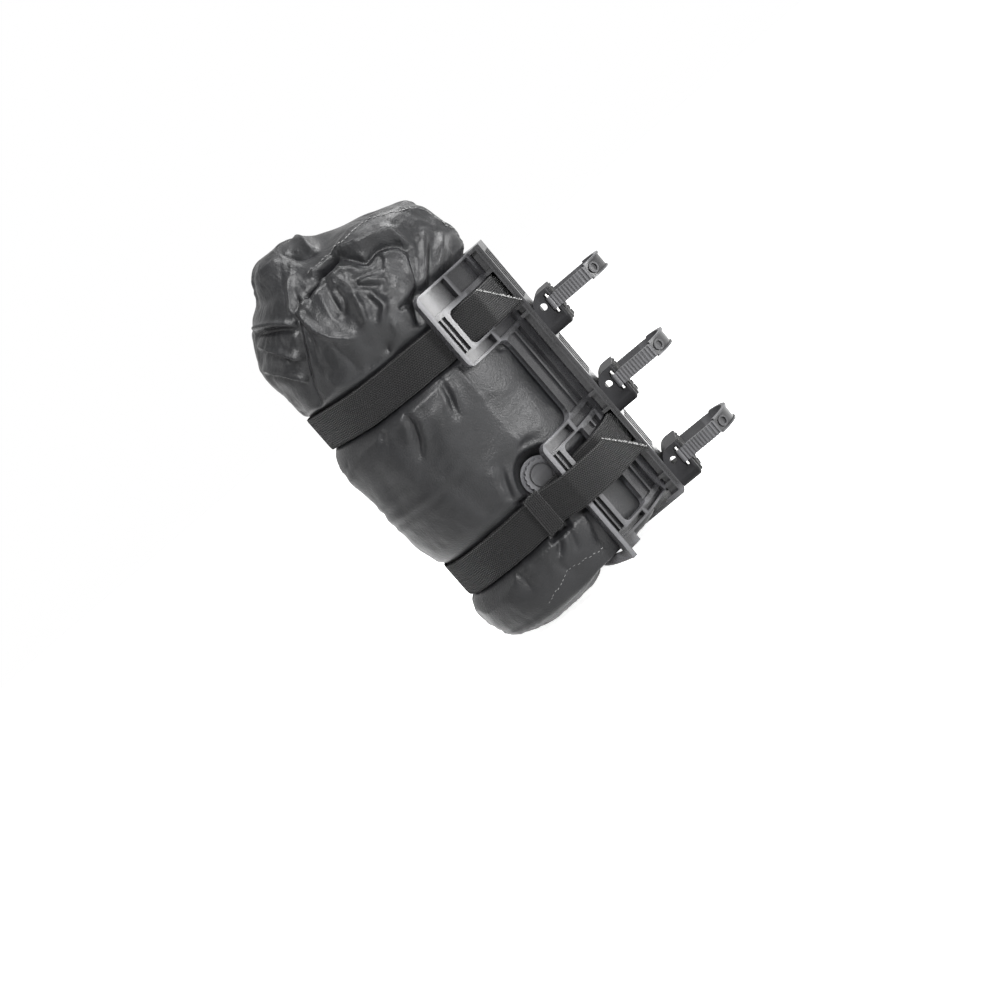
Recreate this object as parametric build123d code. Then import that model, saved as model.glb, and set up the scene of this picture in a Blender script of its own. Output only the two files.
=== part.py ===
from build123d import *
import math
import os

# A cargo cage for a bicycle: a ribbed plastic cradle that carries a rolled dry bag under the
# frame tube, two webbing straps with cam buckles, and three bases with toothed tie bands that
# clamp the cradle to the tube.
# Frame: the origin is on the tube's axis, in the middle of the middle band. +Z runs along the
# tube towards the bag's rolled top, -Y points from the tube to the load, X is the width.
# All sizes are in millimetres, and all angles in degrees.

# The tube and the three bases
tube_r = 17.45
bolt_pitch = 64.0
rail_back = -33.0
base_half = 20.5
base_top_y = -17.6
base_low = -17.5
base_high = 10.3
base_round = 6.0
screw_offset = -9.0
cheek_t = 3.2
sight_hole_r = 2.4
sight_hole_y = -27.2
sight_hole_z = 1.4
base_names = {"upper": bolt_pitch, "middle": 0.0, "lower": -bolt_pitch}

# The toothed tie band
band_t = 2.0
band_half = 4.6
crown_half = 5.7
crown_angle = 64.0
tooth_pitch = 2.3
tooth_h = 1.3
tooth_w = 1.25
tail_tooth_h = 0.6
band_channel_y = -22.6
band_bend_r = 3.0
tail_end_x = 11.0
anchor_r = 1.25
fit_gap = 0.1
loose_gap = 0.3

# The cradle: a trough around the bag's axis, with a back rail along the tube
trough_y = -120.0
trough_r = 75.3
wall_t = 2.4
rib_h = 2.6
lip_h = 2.0
wing_angle = 61.4
lip_angle = 2.2
window_angle = 52.0
mid_angle = 35.0
rib_angle = 1.3
wing_top = 122.6
upper_window = (77.9, 103.3)
upper_wing_low = 68.5
lower_wing_top = 4.5
lower_window = (-67.2, -4.8)
lower_wing_low = -73.7
wing_round = 5.0
rim_t = 1.7
rail_half = 20.0
rail_t = 3.8
web_x = 13.0
web_t = 2.4
floor_top = -79.8
floor_t = 3.6
hoop_front = -108.5
hoop_h = 6.0
hoop_t = 3.0
hoop_low = -85.4
tab_low = -81.2

# The bag
bag_axis_y = -119.4
bag_r = 74.6
bag_low = -90.0
bag_shoulder = 182.0
bag_top = 204.0
bag_gap = 0.3

# The webbing straps: (height at the near side, tilt, loop centre, inner radius of the loop)
webbing_w = 24.4
webbing_t = 1.5
upper_strap = {"z": 91.7, "tilt": -1.2, "centre": -118.9, "r": 70.6}
lower_strap = {"z": -28.9, "tilt": 3.2, "centre": -116.2, "r": 68.2}
tail_sag = 7.0
layer_gap = 0.3
wing_leave = 64.0
tail_leave = 75.0
back_layer_r = 81.4

# The cam buckle, in its own frame: t along the strap, n away from the bag
plate_gap = 13.2
plate_t = 1.5
buckle_half = 14.5
buckle_h = 9.5
bar_r = 1.3
bar_t = 11.5
bar_n = 0.6
cam_pin_r = 1.5
cam_n = 6.9
cam_rest = 30.0

# The bag's air valve
valve_angle = 68.6
valve_z = -10.3
knob_r = 10.7
knob_h = 4.0
knob_face = 66.5
valve_flange_r = 12.6
valve_flange_t = 2.0
valve_bore_r = 3.0

rib_r = trough_r + wall_t + rib_h
wall_r = trough_r + wall_t
lip_r = rib_r + lip_h
rail_front = rail_back - rail_t
trough_to_rail = rail_front - trough_y


def ring_point(r, angle, centre_y=trough_y):
    """A point at radius r, at an angle from +Y towards +X, around a vertical axis."""
    a = math.radians(angle)
    return (r * math.sin(a), centre_y + r * math.cos(a))


def sector(r0, r1, a0, a1, z0, z1, centre_y=trough_y):
    """A block between two radii, two angles and two heights."""
    mid = (a0 + a1) / 2
    edges = [
        Line(ring_point(r0, a0, centre_y), ring_point(r1, a0, centre_y)),
        ThreePointArc(*[ring_point(r1, a, centre_y) for a in (a0, mid, a1)]),
        Line(ring_point(r1, a1, centre_y), ring_point(r0, a1, centre_y)),
        ThreePointArc(*[ring_point(r0, a, centre_y) for a in (a1, mid, a0)]),
    ]
    face = make_face(edges)
    return Pos(0, 0, z0) * extrude(face, z1 - z0)


def rounded_sector(r0, r1, a0, a1, z0, z1, radius):
    """A sector block with its four radial corners rounded."""
    block = sector(r0, r1, a0, a1, z0, z1)
    corners = [e for e in block.edges().filter_by(GeomType.LINE)
               if abs(e.tangent_at(0.5).Z) < 0.5]
    return fillet(corners, radius)


def sector_pair(r0, r1, a0, a1, z0, z1, radius=0.0):
    """A sector block on each side of the middle plane, with rounded corners if asked."""
    spans = ((a0, a1), (-a1, -a0))
    if radius:
        return [rounded_sector(r0, r1, p, q, z0, z1, radius) for p, q in spans]
    return [sector(r0, r1, p, q, z0, z1) for p, q in spans]


def box(x0, x1, y0, y1, z0, z1):
    """A box between two corners."""
    solid = Box(x1 - x0, y1 - y0, z1 - z0)
    return Pos((x0 + x1) / 2, (y0 + y1) / 2, (z0 + z1) / 2) * solid


def cylinder_x(r, x0, x1, y, z):
    """A cylinder along X."""
    return Pos((x0 + x1) / 2, y, z) * Rot(0, 90, 0) * Cylinder(r, x1 - x0)


def cylinder_y(r, y0, y1, x, z):
    """A cylinder along Y."""
    return Pos(x, (y0 + y1) / 2, z) * Rot(90, 0, 0) * Cylinder(r, y1 - y0)


def both_sides(shapes):
    """The shapes and their mirror images across the middle plane."""
    return shapes + [mirror(s, Plane.YZ) for s in shapes]


# The cradle

def wing_pockets():
    """Recesses in the wings' outer faces, which leave raised rims and ribs."""
    front = wing_angle - lip_angle
    divider = 40.0
    bands = [
        (upper_window[1] + rim_t * 2, wing_top - rim_t),
        (upper_wing_low + rim_t, upper_window[0] - rim_t),
        (lower_window[1] + rim_t, lower_wing_top - rim_t),
        (lower_wing_low + rim_t, lower_window[0] - rim_t),
    ]
    top = lip_r + 1
    cuts = []
    for low, high in bands:
        cuts += sector_pair(wall_r, top, divider + rib_angle, front, low, high)
        cuts += sector_pair(wall_r, top, mid_angle - 17, divider - rib_angle, low, high)
        cuts += sector_pair(wall_r - 1.0, top, divider + rib_angle, divider + 5.5,
                           low + 0.6, high - 0.6)
    for low, high in (upper_window, lower_window):
        rim = window_angle + 1.8 * rib_angle
        thin = window_angle + 4.4
        cuts += sector_pair(wall_r, top, rim, thin, low, high)
        cuts += sector_pair(wall_r, top, thin + 0.6 * rib_angle, front, low, high)
    return cuts


def flange_pockets():
    """The step and the long recess on each side of the rail."""
    top = lip_r + 1
    step = mid_angle - 6.6
    runs = [
        (upper_wing_low - rim_t, lower_wing_top + rim_t),
        (lower_window[1] - rim_t, lower_window[0] + rim_t),
    ]
    cuts = []
    for high, low in runs:
        cuts += sector_pair(rib_r - 1.4, top, step, mid_angle + 1, low, high)
        cuts += sector_pair(wall_r, top, mid_angle - 14, step - rib_angle, low, high)
    return cuts


def wing_openings():
    """The two windows and the gap between the wings on each side."""
    inner = trough_r - 2
    outer = lip_r + 2
    gap_end = wing_angle + 12
    cuts = sector_pair(inner, outer, mid_angle, gap_end, lower_wing_top, upper_wing_low, 7.5)
    for low, high in (upper_window, lower_window):
        cuts += sector_pair(inner, outer, mid_angle, window_angle, low, high, 4.0)
    return cuts


def wing_corners():
    """Cutters that round the wings' outer corners, three on each side."""
    inner = trough_r - 1
    outer = lip_r + 1
    reach = math.degrees((wing_round + 1) / trough_r)
    cutters = []
    for low, high, ends in ((upper_wing_low, wing_top, (-1, 1)),
                            (lower_wing_low, lower_wing_top, (1,))):
        mask = rounded_sector(inner - 1, outer + 1, -wing_angle, wing_angle, low, high,
                              wing_round)
        for end in ends:
            z = high if end > 0 else low
            corner = sector_pair(inner, outer, wing_angle - reach, wing_angle + 1,
                                 min(z, z - end * (wing_round + 1)) - 0.5,
                                 max(z, z - end * (wing_round + 1)) + 0.5)
            cutters += [block - mask for block in corner]
    return cutters


def rail():
    """The back rail with its side grooves and rear recesses."""
    low = floor_top - floor_t
    plate = box(-rail_half, rail_half, rail_front, rail_back, low, wing_top)
    corner = [e for e in plate.edges().filter_by(Axis.X)
              if e.center().Z < 0 and e.center().Y > rail_back - 0.1]
    plate = fillet(corner, rail_t * 0.95)
    groove = box(rail_half - 0.7, rail_half + 1, rail_front + 1.4, rail_front + 2.4,
                 low + 8, wing_top - 3)
    recesses = []
    for z0, z1 in ((78.0, 116.0), (14.0, 44.0), (-50.0, -21.0)):
        for x in (-11.0, 0.0, 11.0):
            recesses.append(box(x - 4, x + 4, rail_back - 1.4, rail_back + 1, z0, z1))
    return plate - both_sides([groove]) - recesses


def rail_ribs():
    """Webs, cross ribs and screw bosses between the trough and the rail."""
    floor_low = floor_top - floor_t
    reach = trough_y + rib_r - 1.2
    solids = []
    slots = strap_slots()
    levels = [wing_top - web_t / 2, upper_wing_low + 0.9, lower_wing_top - 0.9,
              lower_window[0] + 1.2, lower_wing_low + 0.9]
    for low, high in slots:
        levels += [low - web_t / 2, high + web_t / 2]
    for z in levels:
        solids.append(box(-rail_half + 1.2, rail_half - 1.2, reach - 3.4, rail_front + 1,
                          z - web_t / 2, z + web_t / 2))
    spans = [(slots[0][1], wing_top), (slots[1][1], slots[0][0]),
             (floor_low, slots[1][0])]
    for low, high in spans:
        web = box(web_x - web_t / 2, web_x + web_t / 2, reach - 1.6, rail_front + 1,
                  low, high)
        solids += both_sides([web])
    return solids


def strap_slots():
    """Heights of the two slots that the straps pass through, lowest and highest."""
    found = []
    for strap in (upper_strap, lower_strap):
        lean = math.tan(math.radians(strap["tilt"]))
        middle = strap["z"] + (trough_y + back_layer_r - strap["centre"]) * lean
        half = webbing_w / 2 + 0.9
        found.append((middle - half, middle + half))
    return found


def foot():
    """The floor tongue, the hoop in front of it, and the tabs that carry the hoop."""
    tongue = box(-rail_half, rail_half, hoop_front + 2, rail_front + 1,
                 floor_top - floor_t, floor_top)
    end = ring_point(trough_r + 3.0, wing_angle)
    sag = end[1] - hoop_front
    hoop_r = (end[0] ** 2 + sag ** 2) / (2 * sag)
    hoop_y = hoop_front + hoop_r
    half = math.degrees(math.asin(end[0] / hoop_r))
    hoop = sector(hoop_r - hoop_t, hoop_r, 180 - half - 0.6, 180 + half + 0.6,
                  hoop_low, hoop_low + hoop_h, centre_y=hoop_y)
    tabs = sector_pair(trough_r, wall_r, window_angle - 0.8, wing_angle - lip_angle / 2,
                       tab_low, lower_wing_low + 1)
    lip_feet = sector_pair(trough_r, lip_r, wing_angle - lip_angle, wing_angle,
                           hoop_low, lower_wing_low + 1)
    ribs = [box(x - 1, x + 1, hoop_front + 4, rail_front - 4,
                floor_top - floor_t - 1.2, floor_top - 1) for x in (-12, 0, 12)]
    return [tongue, hoop] + tabs + lip_feet + ribs


def cage_frame():
    """The whole cradle, moulded in one piece."""
    shell = sector(trough_r, rib_r, -wing_angle, wing_angle, lower_wing_low, wing_top)
    lips = []
    for low, high in ((upper_wing_low, wing_top), (lower_wing_low, lower_wing_top)):
        lips += sector_pair(trough_r, lip_r, wing_angle - lip_angle, wing_angle, low, high)
    body = (shell + lips) - (wing_openings() + wing_pockets() + flange_pockets())
    body = body - wing_corners()
    body = body + [rail()] + rail_ribs()
    drills = []
    for z in base_names.values():
        zs = z + screw_offset
        body = body + cylinder_y(6.4, trough_y + trough_r + 0.6, rail_front + 1, 0, zs)
        drills.append(cylinder_y(2.7, trough_y + trough_r - 6, rail_back + 1, 0, zs))
        drills.append(cylinder_y(5.1, trough_y + trough_r - 6,
                                 trough_y + trough_r + 3.0, 0, zs))
    body = body + foot()
    for low, high in strap_slots():
        drills.append(sector(rib_r - 1.4, trough_to_rail - 0.05, -mid_angle - 2,
                             mid_angle + 2, low, high))
    trough = sector(trough_r - 14, trough_r, -59, 59, tab_low, lower_wing_low + 1.5)
    return body - drills - trough


# The bases and their small pieces

def mount_base(z):
    """A base: a hollow block with a flat back, a band channel and a cheek on each side."""
    block = box(-base_half, base_half, rail_back, base_top_y, z + base_low, z + base_high)
    ends = [e for e in block.edges().filter_by(Axis.Y) if e.center().Z < z]
    block = fillet(ends, base_round)
    shoulder = [e for e in block.edges().filter_by(Axis.X)
                if e.center().Z > z and e.center().Y < rail_back + 1]
    block = fillet(shoulder, 8.5)
    toe = [e for e in block.edges().filter_by(GeomType.LINE).filter_by(Axis.X)
           if e.center().Z < z and e.center().Y > base_top_y - 1]
    block = fillet(toe, 2.4)
    room = band_half + loose_gap
    low = band_channel_y - band_t / 2 - tail_tooth_h - loose_gap
    high = band_channel_y + band_t / 2 + loose_gap
    side = tube_r - 0.4
    channel = box(-base_half - 1, tail_end_x + 1.2, low, high, z - room, z + room)
    eye_r = anchor_r + fit_gap + 0.75
    near = box(side, base_half + 1, band_anchor_y() - eye_r - loose_gap, base_top_y + 1,
               z - room, z + room)
    far = box(-base_half - 1, -side, low, base_top_y + 1, z - room, z + room)
    notch = box(side, base_half + 1, band_anchor_y() - 1.7, band_anchor_y() + 1.7,
                z - 7.2, z + 7.2)
    hollow = box(-base_half - 1, base_half - cheek_t, rail_back + 1.6, low - 0.01,
                 z - 5.0, z + 5.6)
    sight = cylinder_x(sight_hole_r, 0, base_half + 1, sight_hole_y, z + sight_hole_z)
    seat = box(-13.3, 13.3, base_top_y - 1.3, base_top_y + 1, z - 16.2, z + 9.2)
    insert = cylinder_y(3.5, rail_back - 1, rail_back + 8.0, 0, z + screw_offset)
    bend = box(-side - 0.1, band_t / 2 + band_bend_r - side, low,
               band_channel_y + band_bend_r + 0.1, z - room, z + room)
    eye_room = Pos(tube_r + band_t / 2, band_anchor_y(), z) * Cylinder(
        eye_r + loose_gap, 2 * room)
    cuts = [channel, near, far, notch, hollow, sight, seat, insert, bend, eye_room]
    return block - cuts


def saddle_pad(z):
    """The rubber pad in the base's top, hollowed for the tube."""
    pad = box(-13.2, 13.2, base_top_y - 1.2, base_top_y + 1.0, z - 16.1, z + 9.1)
    seat_r = tube_r + 0.6
    seat = Pos(0, seat_r - tube_r, z) * Cylinder(seat_r, 60)
    grooves = [box(-14, 14, base_top_y + 0.4, base_top_y + 2, z + k - 0.6, z + k + 0.6)
               for k in (-12.5, -9.0, 7.0)]
    return pad - [seat] - grooves


def band_anchor_y():
    """Height of the anchor pin's axis above the rail, as a Y value."""
    return base_top_y - 3.6


def tie_band(z):
    """The toothed band: anchored on a pin, round the tube and back into the channel."""
    outer = tube_r + band_t
    mid_r = tube_r + band_t / 2
    bend = band_bend_r
    wrap = make_face([
        CenterArc((0, 0), tube_r, 0, 180), CenterArc((0, 0), outer, 0, 180),
        Line((tube_r, 0), (outer, 0)), Line((-tube_r, 0), (-outer, 0)),
    ])
    anchor = (mid_r, band_anchor_y())
    near = Pos(mid_r, anchor[1] / 2) * Rectangle(band_t, -anchor[1])
    eye_r = anchor_r + fit_gap + 0.75
    eye = Pos(*anchor) * Circle(eye_r) - Pos(*anchor) * Circle(anchor_r + fit_gap)
    far_end = band_channel_y + bend
    far = Pos(-mid_r, far_end / 2) * Rectangle(band_t, -far_end)
    corner_y = band_channel_y + bend
    corner_x = -mid_r + bend
    turn = make_face([
        CenterArc((corner_x, corner_y), bend - band_t / 2, 180, 90),
        CenterArc((corner_x, corner_y), bend + band_t / 2, 180, 90),
        Line((corner_x - bend + band_t / 2, corner_y),
             (corner_x - bend - band_t / 2, corner_y)),
        Line((corner_x, corner_y - bend + band_t / 2),
             (corner_x, corner_y - bend - band_t / 2)),
    ])
    tail = Pos((corner_x + tail_end_x) / 2, band_channel_y) * Rectangle(
        tail_end_x - corner_x, band_t)
    outline = (wrap + near + far + turn + tail) - Pos(*anchor) * Circle(
        anchor_r + fit_gap) + eye
    strip = Pos(0, 0, z - band_half) * extrude(outline, 2 * band_half)
    solids = []
    rows = int((-anchor[1] - 2.6) / tooth_pitch)
    for k in range(rows + 1):
        y = -k * tooth_pitch
        for side in (1, -1):
            x = side * (outer + tooth_h / 2 - 0.1)
            solids.append(Pos(x, y, z) * Box(tooth_h + 0.2, tooth_w, 2 * band_half))
    step = math.degrees(tooth_pitch / mid_r)
    for k in range(1, int((90 - crown_angle) / step) + 1):
        for angle in (k * step, 180 - k * step):
            tooth = Pos(outer + tooth_h / 2 - 0.1, 0, z) * Box(
                tooth_h + 0.2, tooth_w, 2 * band_half)
            solids.append(Rot(0, 0, angle) * tooth)
    for k in range(9):
        x = -9.0 + k * tooth_pitch
        y = band_channel_y - band_t / 2 - tail_tooth_h / 2 + 0.1
        solids.append(Pos(x, y, z) * Box(tooth_w, tail_tooth_h + 0.2, 2 * band_half))
    crown = sector(tube_r, outer, -crown_angle, crown_angle, z - crown_half,
                   z + crown_half, centre_y=0)
    rail_w = 1.3
    for low, high in ((crown_half - rail_w, crown_half), (-crown_half, rail_w - crown_half)):
        solids.append(sector(outer - 0.2, outer + 1.0, -crown_angle, crown_angle,
                             z + low, z + high, centre_y=0))
    for side in (1, -1):
        lug = Rot(0, 0, -side * 50) * (
            Pos(0, outer + 0.2, z) * Rot(90, 0, 0) * Cylinder(3.7, 1.2))
        hole = Rot(0, 0, -side * 50) * (
            Pos(0, outer + 0.5, z) * Rot(90, 0, 0) * Cylinder(2.5, 1.6))
        crown = crown + lug - hole
    return strip + crown + solids


def anchor_pin(z):
    """The steel pin through the band's eye, seated in the base's notches."""
    x = tube_r + band_t / 2
    return Pos(x, band_anchor_y(), z) * Cylinder(anchor_r, 14.0)


def mount_screw(z):
    """An M5 button-head screw from the cradle's inside into the base."""
    zs = z + screw_offset
    seat = trough_y + trough_r + 2.9
    head = cylinder_y(4.75, seat - 2.7, seat, 0, zs)
    rim = [e for e in head.edges().filter_by(GeomType.CIRCLE)
           if e.center().Y < seat - 1]
    head = fillet(rim, 1.8)
    shank = cylinder_y(2.45, seat, rail_back + 7.4, 0, zs)
    socket = Pos(0, seat - 2.7, zs) * Rot(90, 0, 0) * extrude(
        RegularPolygon(1.7, 6), 1.6, both=True)
    return head + shank - socket


def thread_insert(z):
    """The brass insert in the base that the screw turns into."""
    zs = z + screw_offset
    body = cylinder_y(3.4, rail_back, rail_back + 7.8, 0, zs)
    groove = cylinder_y(4.5, rail_back + 3.3, rail_back + 4.7, 0, zs)
    groove = groove - cylinder_y(2.9, rail_back, rail_back + 8, 0, zs)
    bore = cylinder_y(2.5, rail_back - 1, rail_back + 9, 0, zs)
    return body - [groove, bore]


# The straps and buckles

def strap_place(strap):
    """Moves a piece from the strap's own level frame to its place and tilt."""
    return Pos(0, strap["centre"], strap["z"]) * Rot(strap["tilt"], 0, 0) * Pos(
        0, -strap["centre"], 0)


def tape_line(p, q, t=webbing_t):
    """A straight stretch of tape, rounded at both ends."""
    length = math.dist(p, q)
    angle = math.degrees(math.atan2(q[1] - p[1], q[0] - p[0]))
    middle = ((p[0] + q[0]) / 2, (p[1] + q[1]) / 2)
    bar = Pos(*middle) * Rot(0, 0, angle) * Rectangle(length, t)
    return bar + Pos(*p) * Circle(t / 2) + Pos(*q) * Circle(t / 2)


def tape_arc(centre_y, r, a0, a1, t=webbing_t):
    """A curved stretch of tape around (0, centre_y), from angle a0 to a1 from +Y."""
    mid = (a0 + a1) / 2
    inner = r - t / 2
    outer = r + t / 2
    return make_face([
        Line(ring_point(inner, a0, centre_y), ring_point(outer, a0, centre_y)),
        ThreePointArc(*[ring_point(outer, a, centre_y) for a in (a0, mid, a1)]),
        Line(ring_point(outer, a1, centre_y), ring_point(inner, a1, centre_y)),
        ThreePointArc(*[ring_point(inner, a, centre_y) for a in (a1, mid, a0)]),
    ])


def to_frame(t, n, base_r, centre_y):
    """A point of the buckle's own frame: t towards the front, n away from the bag."""
    return (-(base_r + n), centre_y - t)


def angle_of(point, centre_y):
    """The angle from +Y towards +X of a point around (0, centre_y)."""
    return math.degrees(math.atan2(point[0], point[1] - centre_y))


def buckle_base_r(strap):
    """Distance from the loop's centre to the buckle's base plate."""
    return strap["r"] + bar_r + 2 * fit_gap + webbing_t - bar_n


def fuse_faces(faces):
    """Joins flat faces into one."""
    joined = faces[0]
    for face in faces[1:]:
        joined = joined + face
    return joined


def window_point(layer, side):
    """A point of the strap just inside the wing's front bar; layer 1 lies under layer 0."""
    r = trough_r - webbing_t / 2 - 0.2 - layer * (webbing_t + layer_gap)
    return ring_point(r, side * 50.0)


def strap_outline(strap):
    """The webbing from above: the buckle bar, round the bag and back through the buckle."""
    cy = strap["centre"]
    main_r = strap["r"] + webbing_t / 2
    tail_r = main_r + webbing_t + layer_gap
    base_r = buckle_base_r(strap)
    bar = to_frame(bar_t, bar_n, base_r, cy)
    loop_r = bar_r + fit_gap + webbing_t / 2
    loop = Pos(*bar) * (Circle(loop_r + webbing_t / 2) - Circle(loop_r - webbing_t / 2))
    near_in = window_point(1, 1)
    far_in = window_point(1, -1)
    near_out = ring_point(back_layer_r, mid_angle + 1)
    far_out = ring_point(back_layer_r, -mid_angle - 1)
    start = angle_of((-main_r, cy - bar_t), cy) + 360
    entry = angle_of((-main_r, cy + buckle_half + 9), cy)
    faces = [
        loop,
        tape_line((bar[0] + loop_r, bar[1]), ring_point(main_r, start - 2.5, cy)),
        tape_arc(cy, main_r, wing_leave, start - 2.5),
        tape_line(ring_point(main_r, wing_leave, cy), near_in),
        tape_line(near_in, near_out),
        tape_arc(trough_y, back_layer_r, -mid_angle - 1, mid_angle + 1),
        tape_line(far_out, far_in),
        tape_line(far_in, ring_point(main_r, -wing_leave, cy)),
        tape_arc(cy, main_r, entry, -wing_leave),
    ]
    over = bar_n + bar_r + fit_gap + webbing_t * 1.5 + layer_gap
    flat = plate_t + webbing_t / 2 + 0.2
    leave = angle_of((-tail_r, cy - buckle_half - 18), cy) + 360
    points = [
        ring_point(main_r, entry, cy),
        to_frame(-10.5, flat, base_r, cy),
        to_frame(4.5, flat, base_r, cy),
        to_frame(bar_t - 1.5, over, base_r, cy),
        to_frame(bar_t + 2.0, over, base_r, cy),
        ring_point(tail_r, leave, cy),
    ]
    for p, q in zip(points, points[1:]):
        faces.append(tape_line(p, q))
    faces.append(tape_arc(cy, tail_r, tail_leave - 2, leave))
    return fuse_faces(faces)


def tail_outline(strap, outside):
    """The tail's last stretch on the near side, up to the rail's edge."""
    cy = strap["centre"]
    tail_r = strap["r"] + webbing_t * 1.5 + layer_gap
    over_r = back_layer_r + webbing_t + 2 * layer_gap
    begin = ring_point(tail_r, tail_leave - 2, cy)
    third = ring_point(over_r, 25.0)
    last = (rail_half + 2.0, rail_back - 1.0)
    if outside:
        first_angle = wing_angle + 1.0
        over_r = lip_r + webbing_t / 2 + 1.4
        first = ring_point(over_r, first_angle)
        third = ring_point(over_r, 25.0)
        faces = [
            tape_line(begin, first),
            tape_arc(trough_y, over_r, 25.0, first_angle),
        ]
    else:
        turn = ring_point(tail_r, wing_leave, cy)
        first = window_point(0, 1)
        faces = [
            tape_arc(cy, tail_r, wing_leave, tail_leave - 2),
            tape_line(turn, first),
            tape_line(first, ring_point(over_r, mid_angle + 1)),
            tape_arc(trough_y, over_r, 25.0, mid_angle + 1.2),
        ]
    return fuse_faces(faces + [tape_line(third, last)])


def strap(strap_values, tail_outside):
    """One webbing strap with its slanted cut end."""
    cy = strap_values["centre"]
    half = webbing_w / 2
    tape = Pos(0, 0, -half) * extrude(strap_outline(strap_values), webbing_w)
    tail = Pos(0, 0, -half) * extrude(tail_outline(strap_values, tail_outside), webbing_w)
    end = Plane.YZ * make_face(Polyline([
        (-50.5, half + 1), (-34.5, -half - 1), (-20, -half - 1), (-20, half + 1),
    ], close=True))
    tail = tail - extrude(end, 60)
    if tail_outside:
        pivot = ring_point(strap_values["r"], tail_leave, cy)[1]
        tail = Pos(0, pivot, 0) * Rot(-tail_sag, 0, 0) * Pos(0, -pivot, 0) * tail
    return strap_place(strap_values) * (tape + tail)


def keeper():
    """The sewn loop that holds the lower strap's tail against its main layer."""
    inner = lower_strap["r"] - loose_gap
    outer = lower_strap["r"] + 2 * webbing_t + 4 * layer_gap
    half = webbing_w / 2 + 3 * loose_gap
    start = tail_leave + 1.8
    span = (start, start + 9.2)
    cy = lower_strap["centre"]
    loop = sector(inner - 1.2, outer + 1.2, *span, -half - 1.2, half + 1.2, centre_y=cy)
    hole = sector(inner, outer, span[0] - 1, span[1] + 1, -half, half, centre_y=cy)
    return strap_place(lower_strap) * (loop - hole)


def buckle_frame(strap_values):
    """The buckle's frame: two side plates, a base plate and the webbing bar."""
    base_r = buckle_base_r(strap_values)
    cy = strap_values["centre"]
    side = Pos(-(base_r + buckle_h / 2), cy, plate_gap + plate_t / 2) * Box(
        buckle_h, 2 * buckle_half, plate_t)
    front = [e for e in side.edges().filter_by(Axis.Z) if e.center().X < -base_r - 1]
    side = fillet(front, 4.0)
    sides = [side, mirror(side, Plane.XY)]
    reach = plate_gap + plate_t - 0.1
    plate = box(-(base_r + 1.5), -base_r, cy - 6.5, cy + 10.5, -reach, reach)
    bar = Pos(*to_frame(bar_t, bar_n, base_r, cy)) * Cylinder(bar_r, 2 * reach)
    strut = box(-(base_r + 6.3), -(base_r + 4.3), cy + 11.6, cy + 13.8, -reach, reach)
    pin_at = to_frame(0, cam_n, base_r, cy)
    holes = Pos(*pin_at) * Cylinder(cam_pin_r + 0.02, 40)
    return strap_place(strap_values) * (sides[0] + sides[1] + plate + bar + strut - holes)


def buckle_cam(strap_values):
    """The cam lever: a toothed roller on the pin, with a thumb tab over the tail."""
    base_r = buckle_base_r(strap_values)
    cy = strap_values["centre"]
    reach = plate_gap - 0.4
    pin_at = to_frame(0, cam_n, base_r, cy)
    hub = Circle(2.9)
    teeth = [Rot(0, 0, a) * (Pos(2.9, 0) * Rectangle(0.9, 0.7)) for a in range(-82, -12, 14)]
    tab = Pos(-9.6, 1.5) * Rectangle(19.2, 2.0)
    profile = hub + tab + Pos(-19.0, 2.1) * Circle(1.6)
    for tooth in teeth:
        profile = profile + tooth
    bore = Circle(cam_pin_r + 0.06)
    lever = extrude(profile - bore, 2 * reach)
    grips = [Pos(-16.5 + 2.4 * k, 2.75, reach) * Box(0.9, 0.6, 2 * reach - 4)
             for k in range(5)]
    lever = lever + grips
    lever = Pos(0, 0, -reach) * lever
    turned = Pos(*pin_at) * Rot(0, 0, 90 - cam_rest) * lever
    return strap_place(strap_values) * turned


def cam_pin(strap_values):
    """The steel pin that the cam turns on."""
    base_r = buckle_base_r(strap_values)
    cy = strap_values["centre"]
    reach = plate_gap + plate_t + 0.5
    pin = Pos(*to_frame(0, cam_n, base_r, cy)) * Cylinder(cam_pin_r, 2 * reach)
    return strap_place(strap_values) * pin


# The bag and its valve

def bag_body():
    """The packed bag: an upright drum with soft ends, cut to the cradle's trough."""
    drum = Pos(0, bag_axis_y, bag_low) * Cylinder(
        bag_r, bag_shoulder - bag_low, align=(Align.CENTER, Align.CENTER, Align.MIN))
    rims = drum.edges().filter_by(GeomType.CIRCLE).sort_by(Axis.Z)
    drum = fillet(rims[-1], 30.0)
    rims = drum.edges().filter_by(GeomType.CIRCLE).sort_by(Axis.Z)
    return fillet(rims[0], 16.0)


def rolled_top():
    """The bag's rolled and folded closure, which leans to the front."""
    side = Polyline([
        (-176, bag_shoulder - 34), (-174, bag_shoulder), (-160, bag_top), (-122, bag_top),
        (-104, bag_shoulder + 2), (-92, bag_shoulder - 34),
    ], close=True)
    roll = Plane.YZ * make_face(side)
    roll = extrude(roll, 46, both=True)
    return fillet(roll.edges().filter_by(Axis.X).group_by(Axis.Z)[-1], 9.0)


def strap_groove(strap_values, depth_r):
    """A ring around the bag where a strap bites into it, wider at its outside."""
    half = webbing_w / 2 + loose_gap
    profile = make_face(Polyline([
        (depth_r, -half), (depth_r, half), (depth_r + 22, half + 9), (depth_r + 22, -half - 9),
    ], close=True))
    ring = revolve(Plane.XZ * profile, Axis.Z)
    return strap_place(strap_values) * (Pos(0, strap_values["centre"], 0) * ring)


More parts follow.
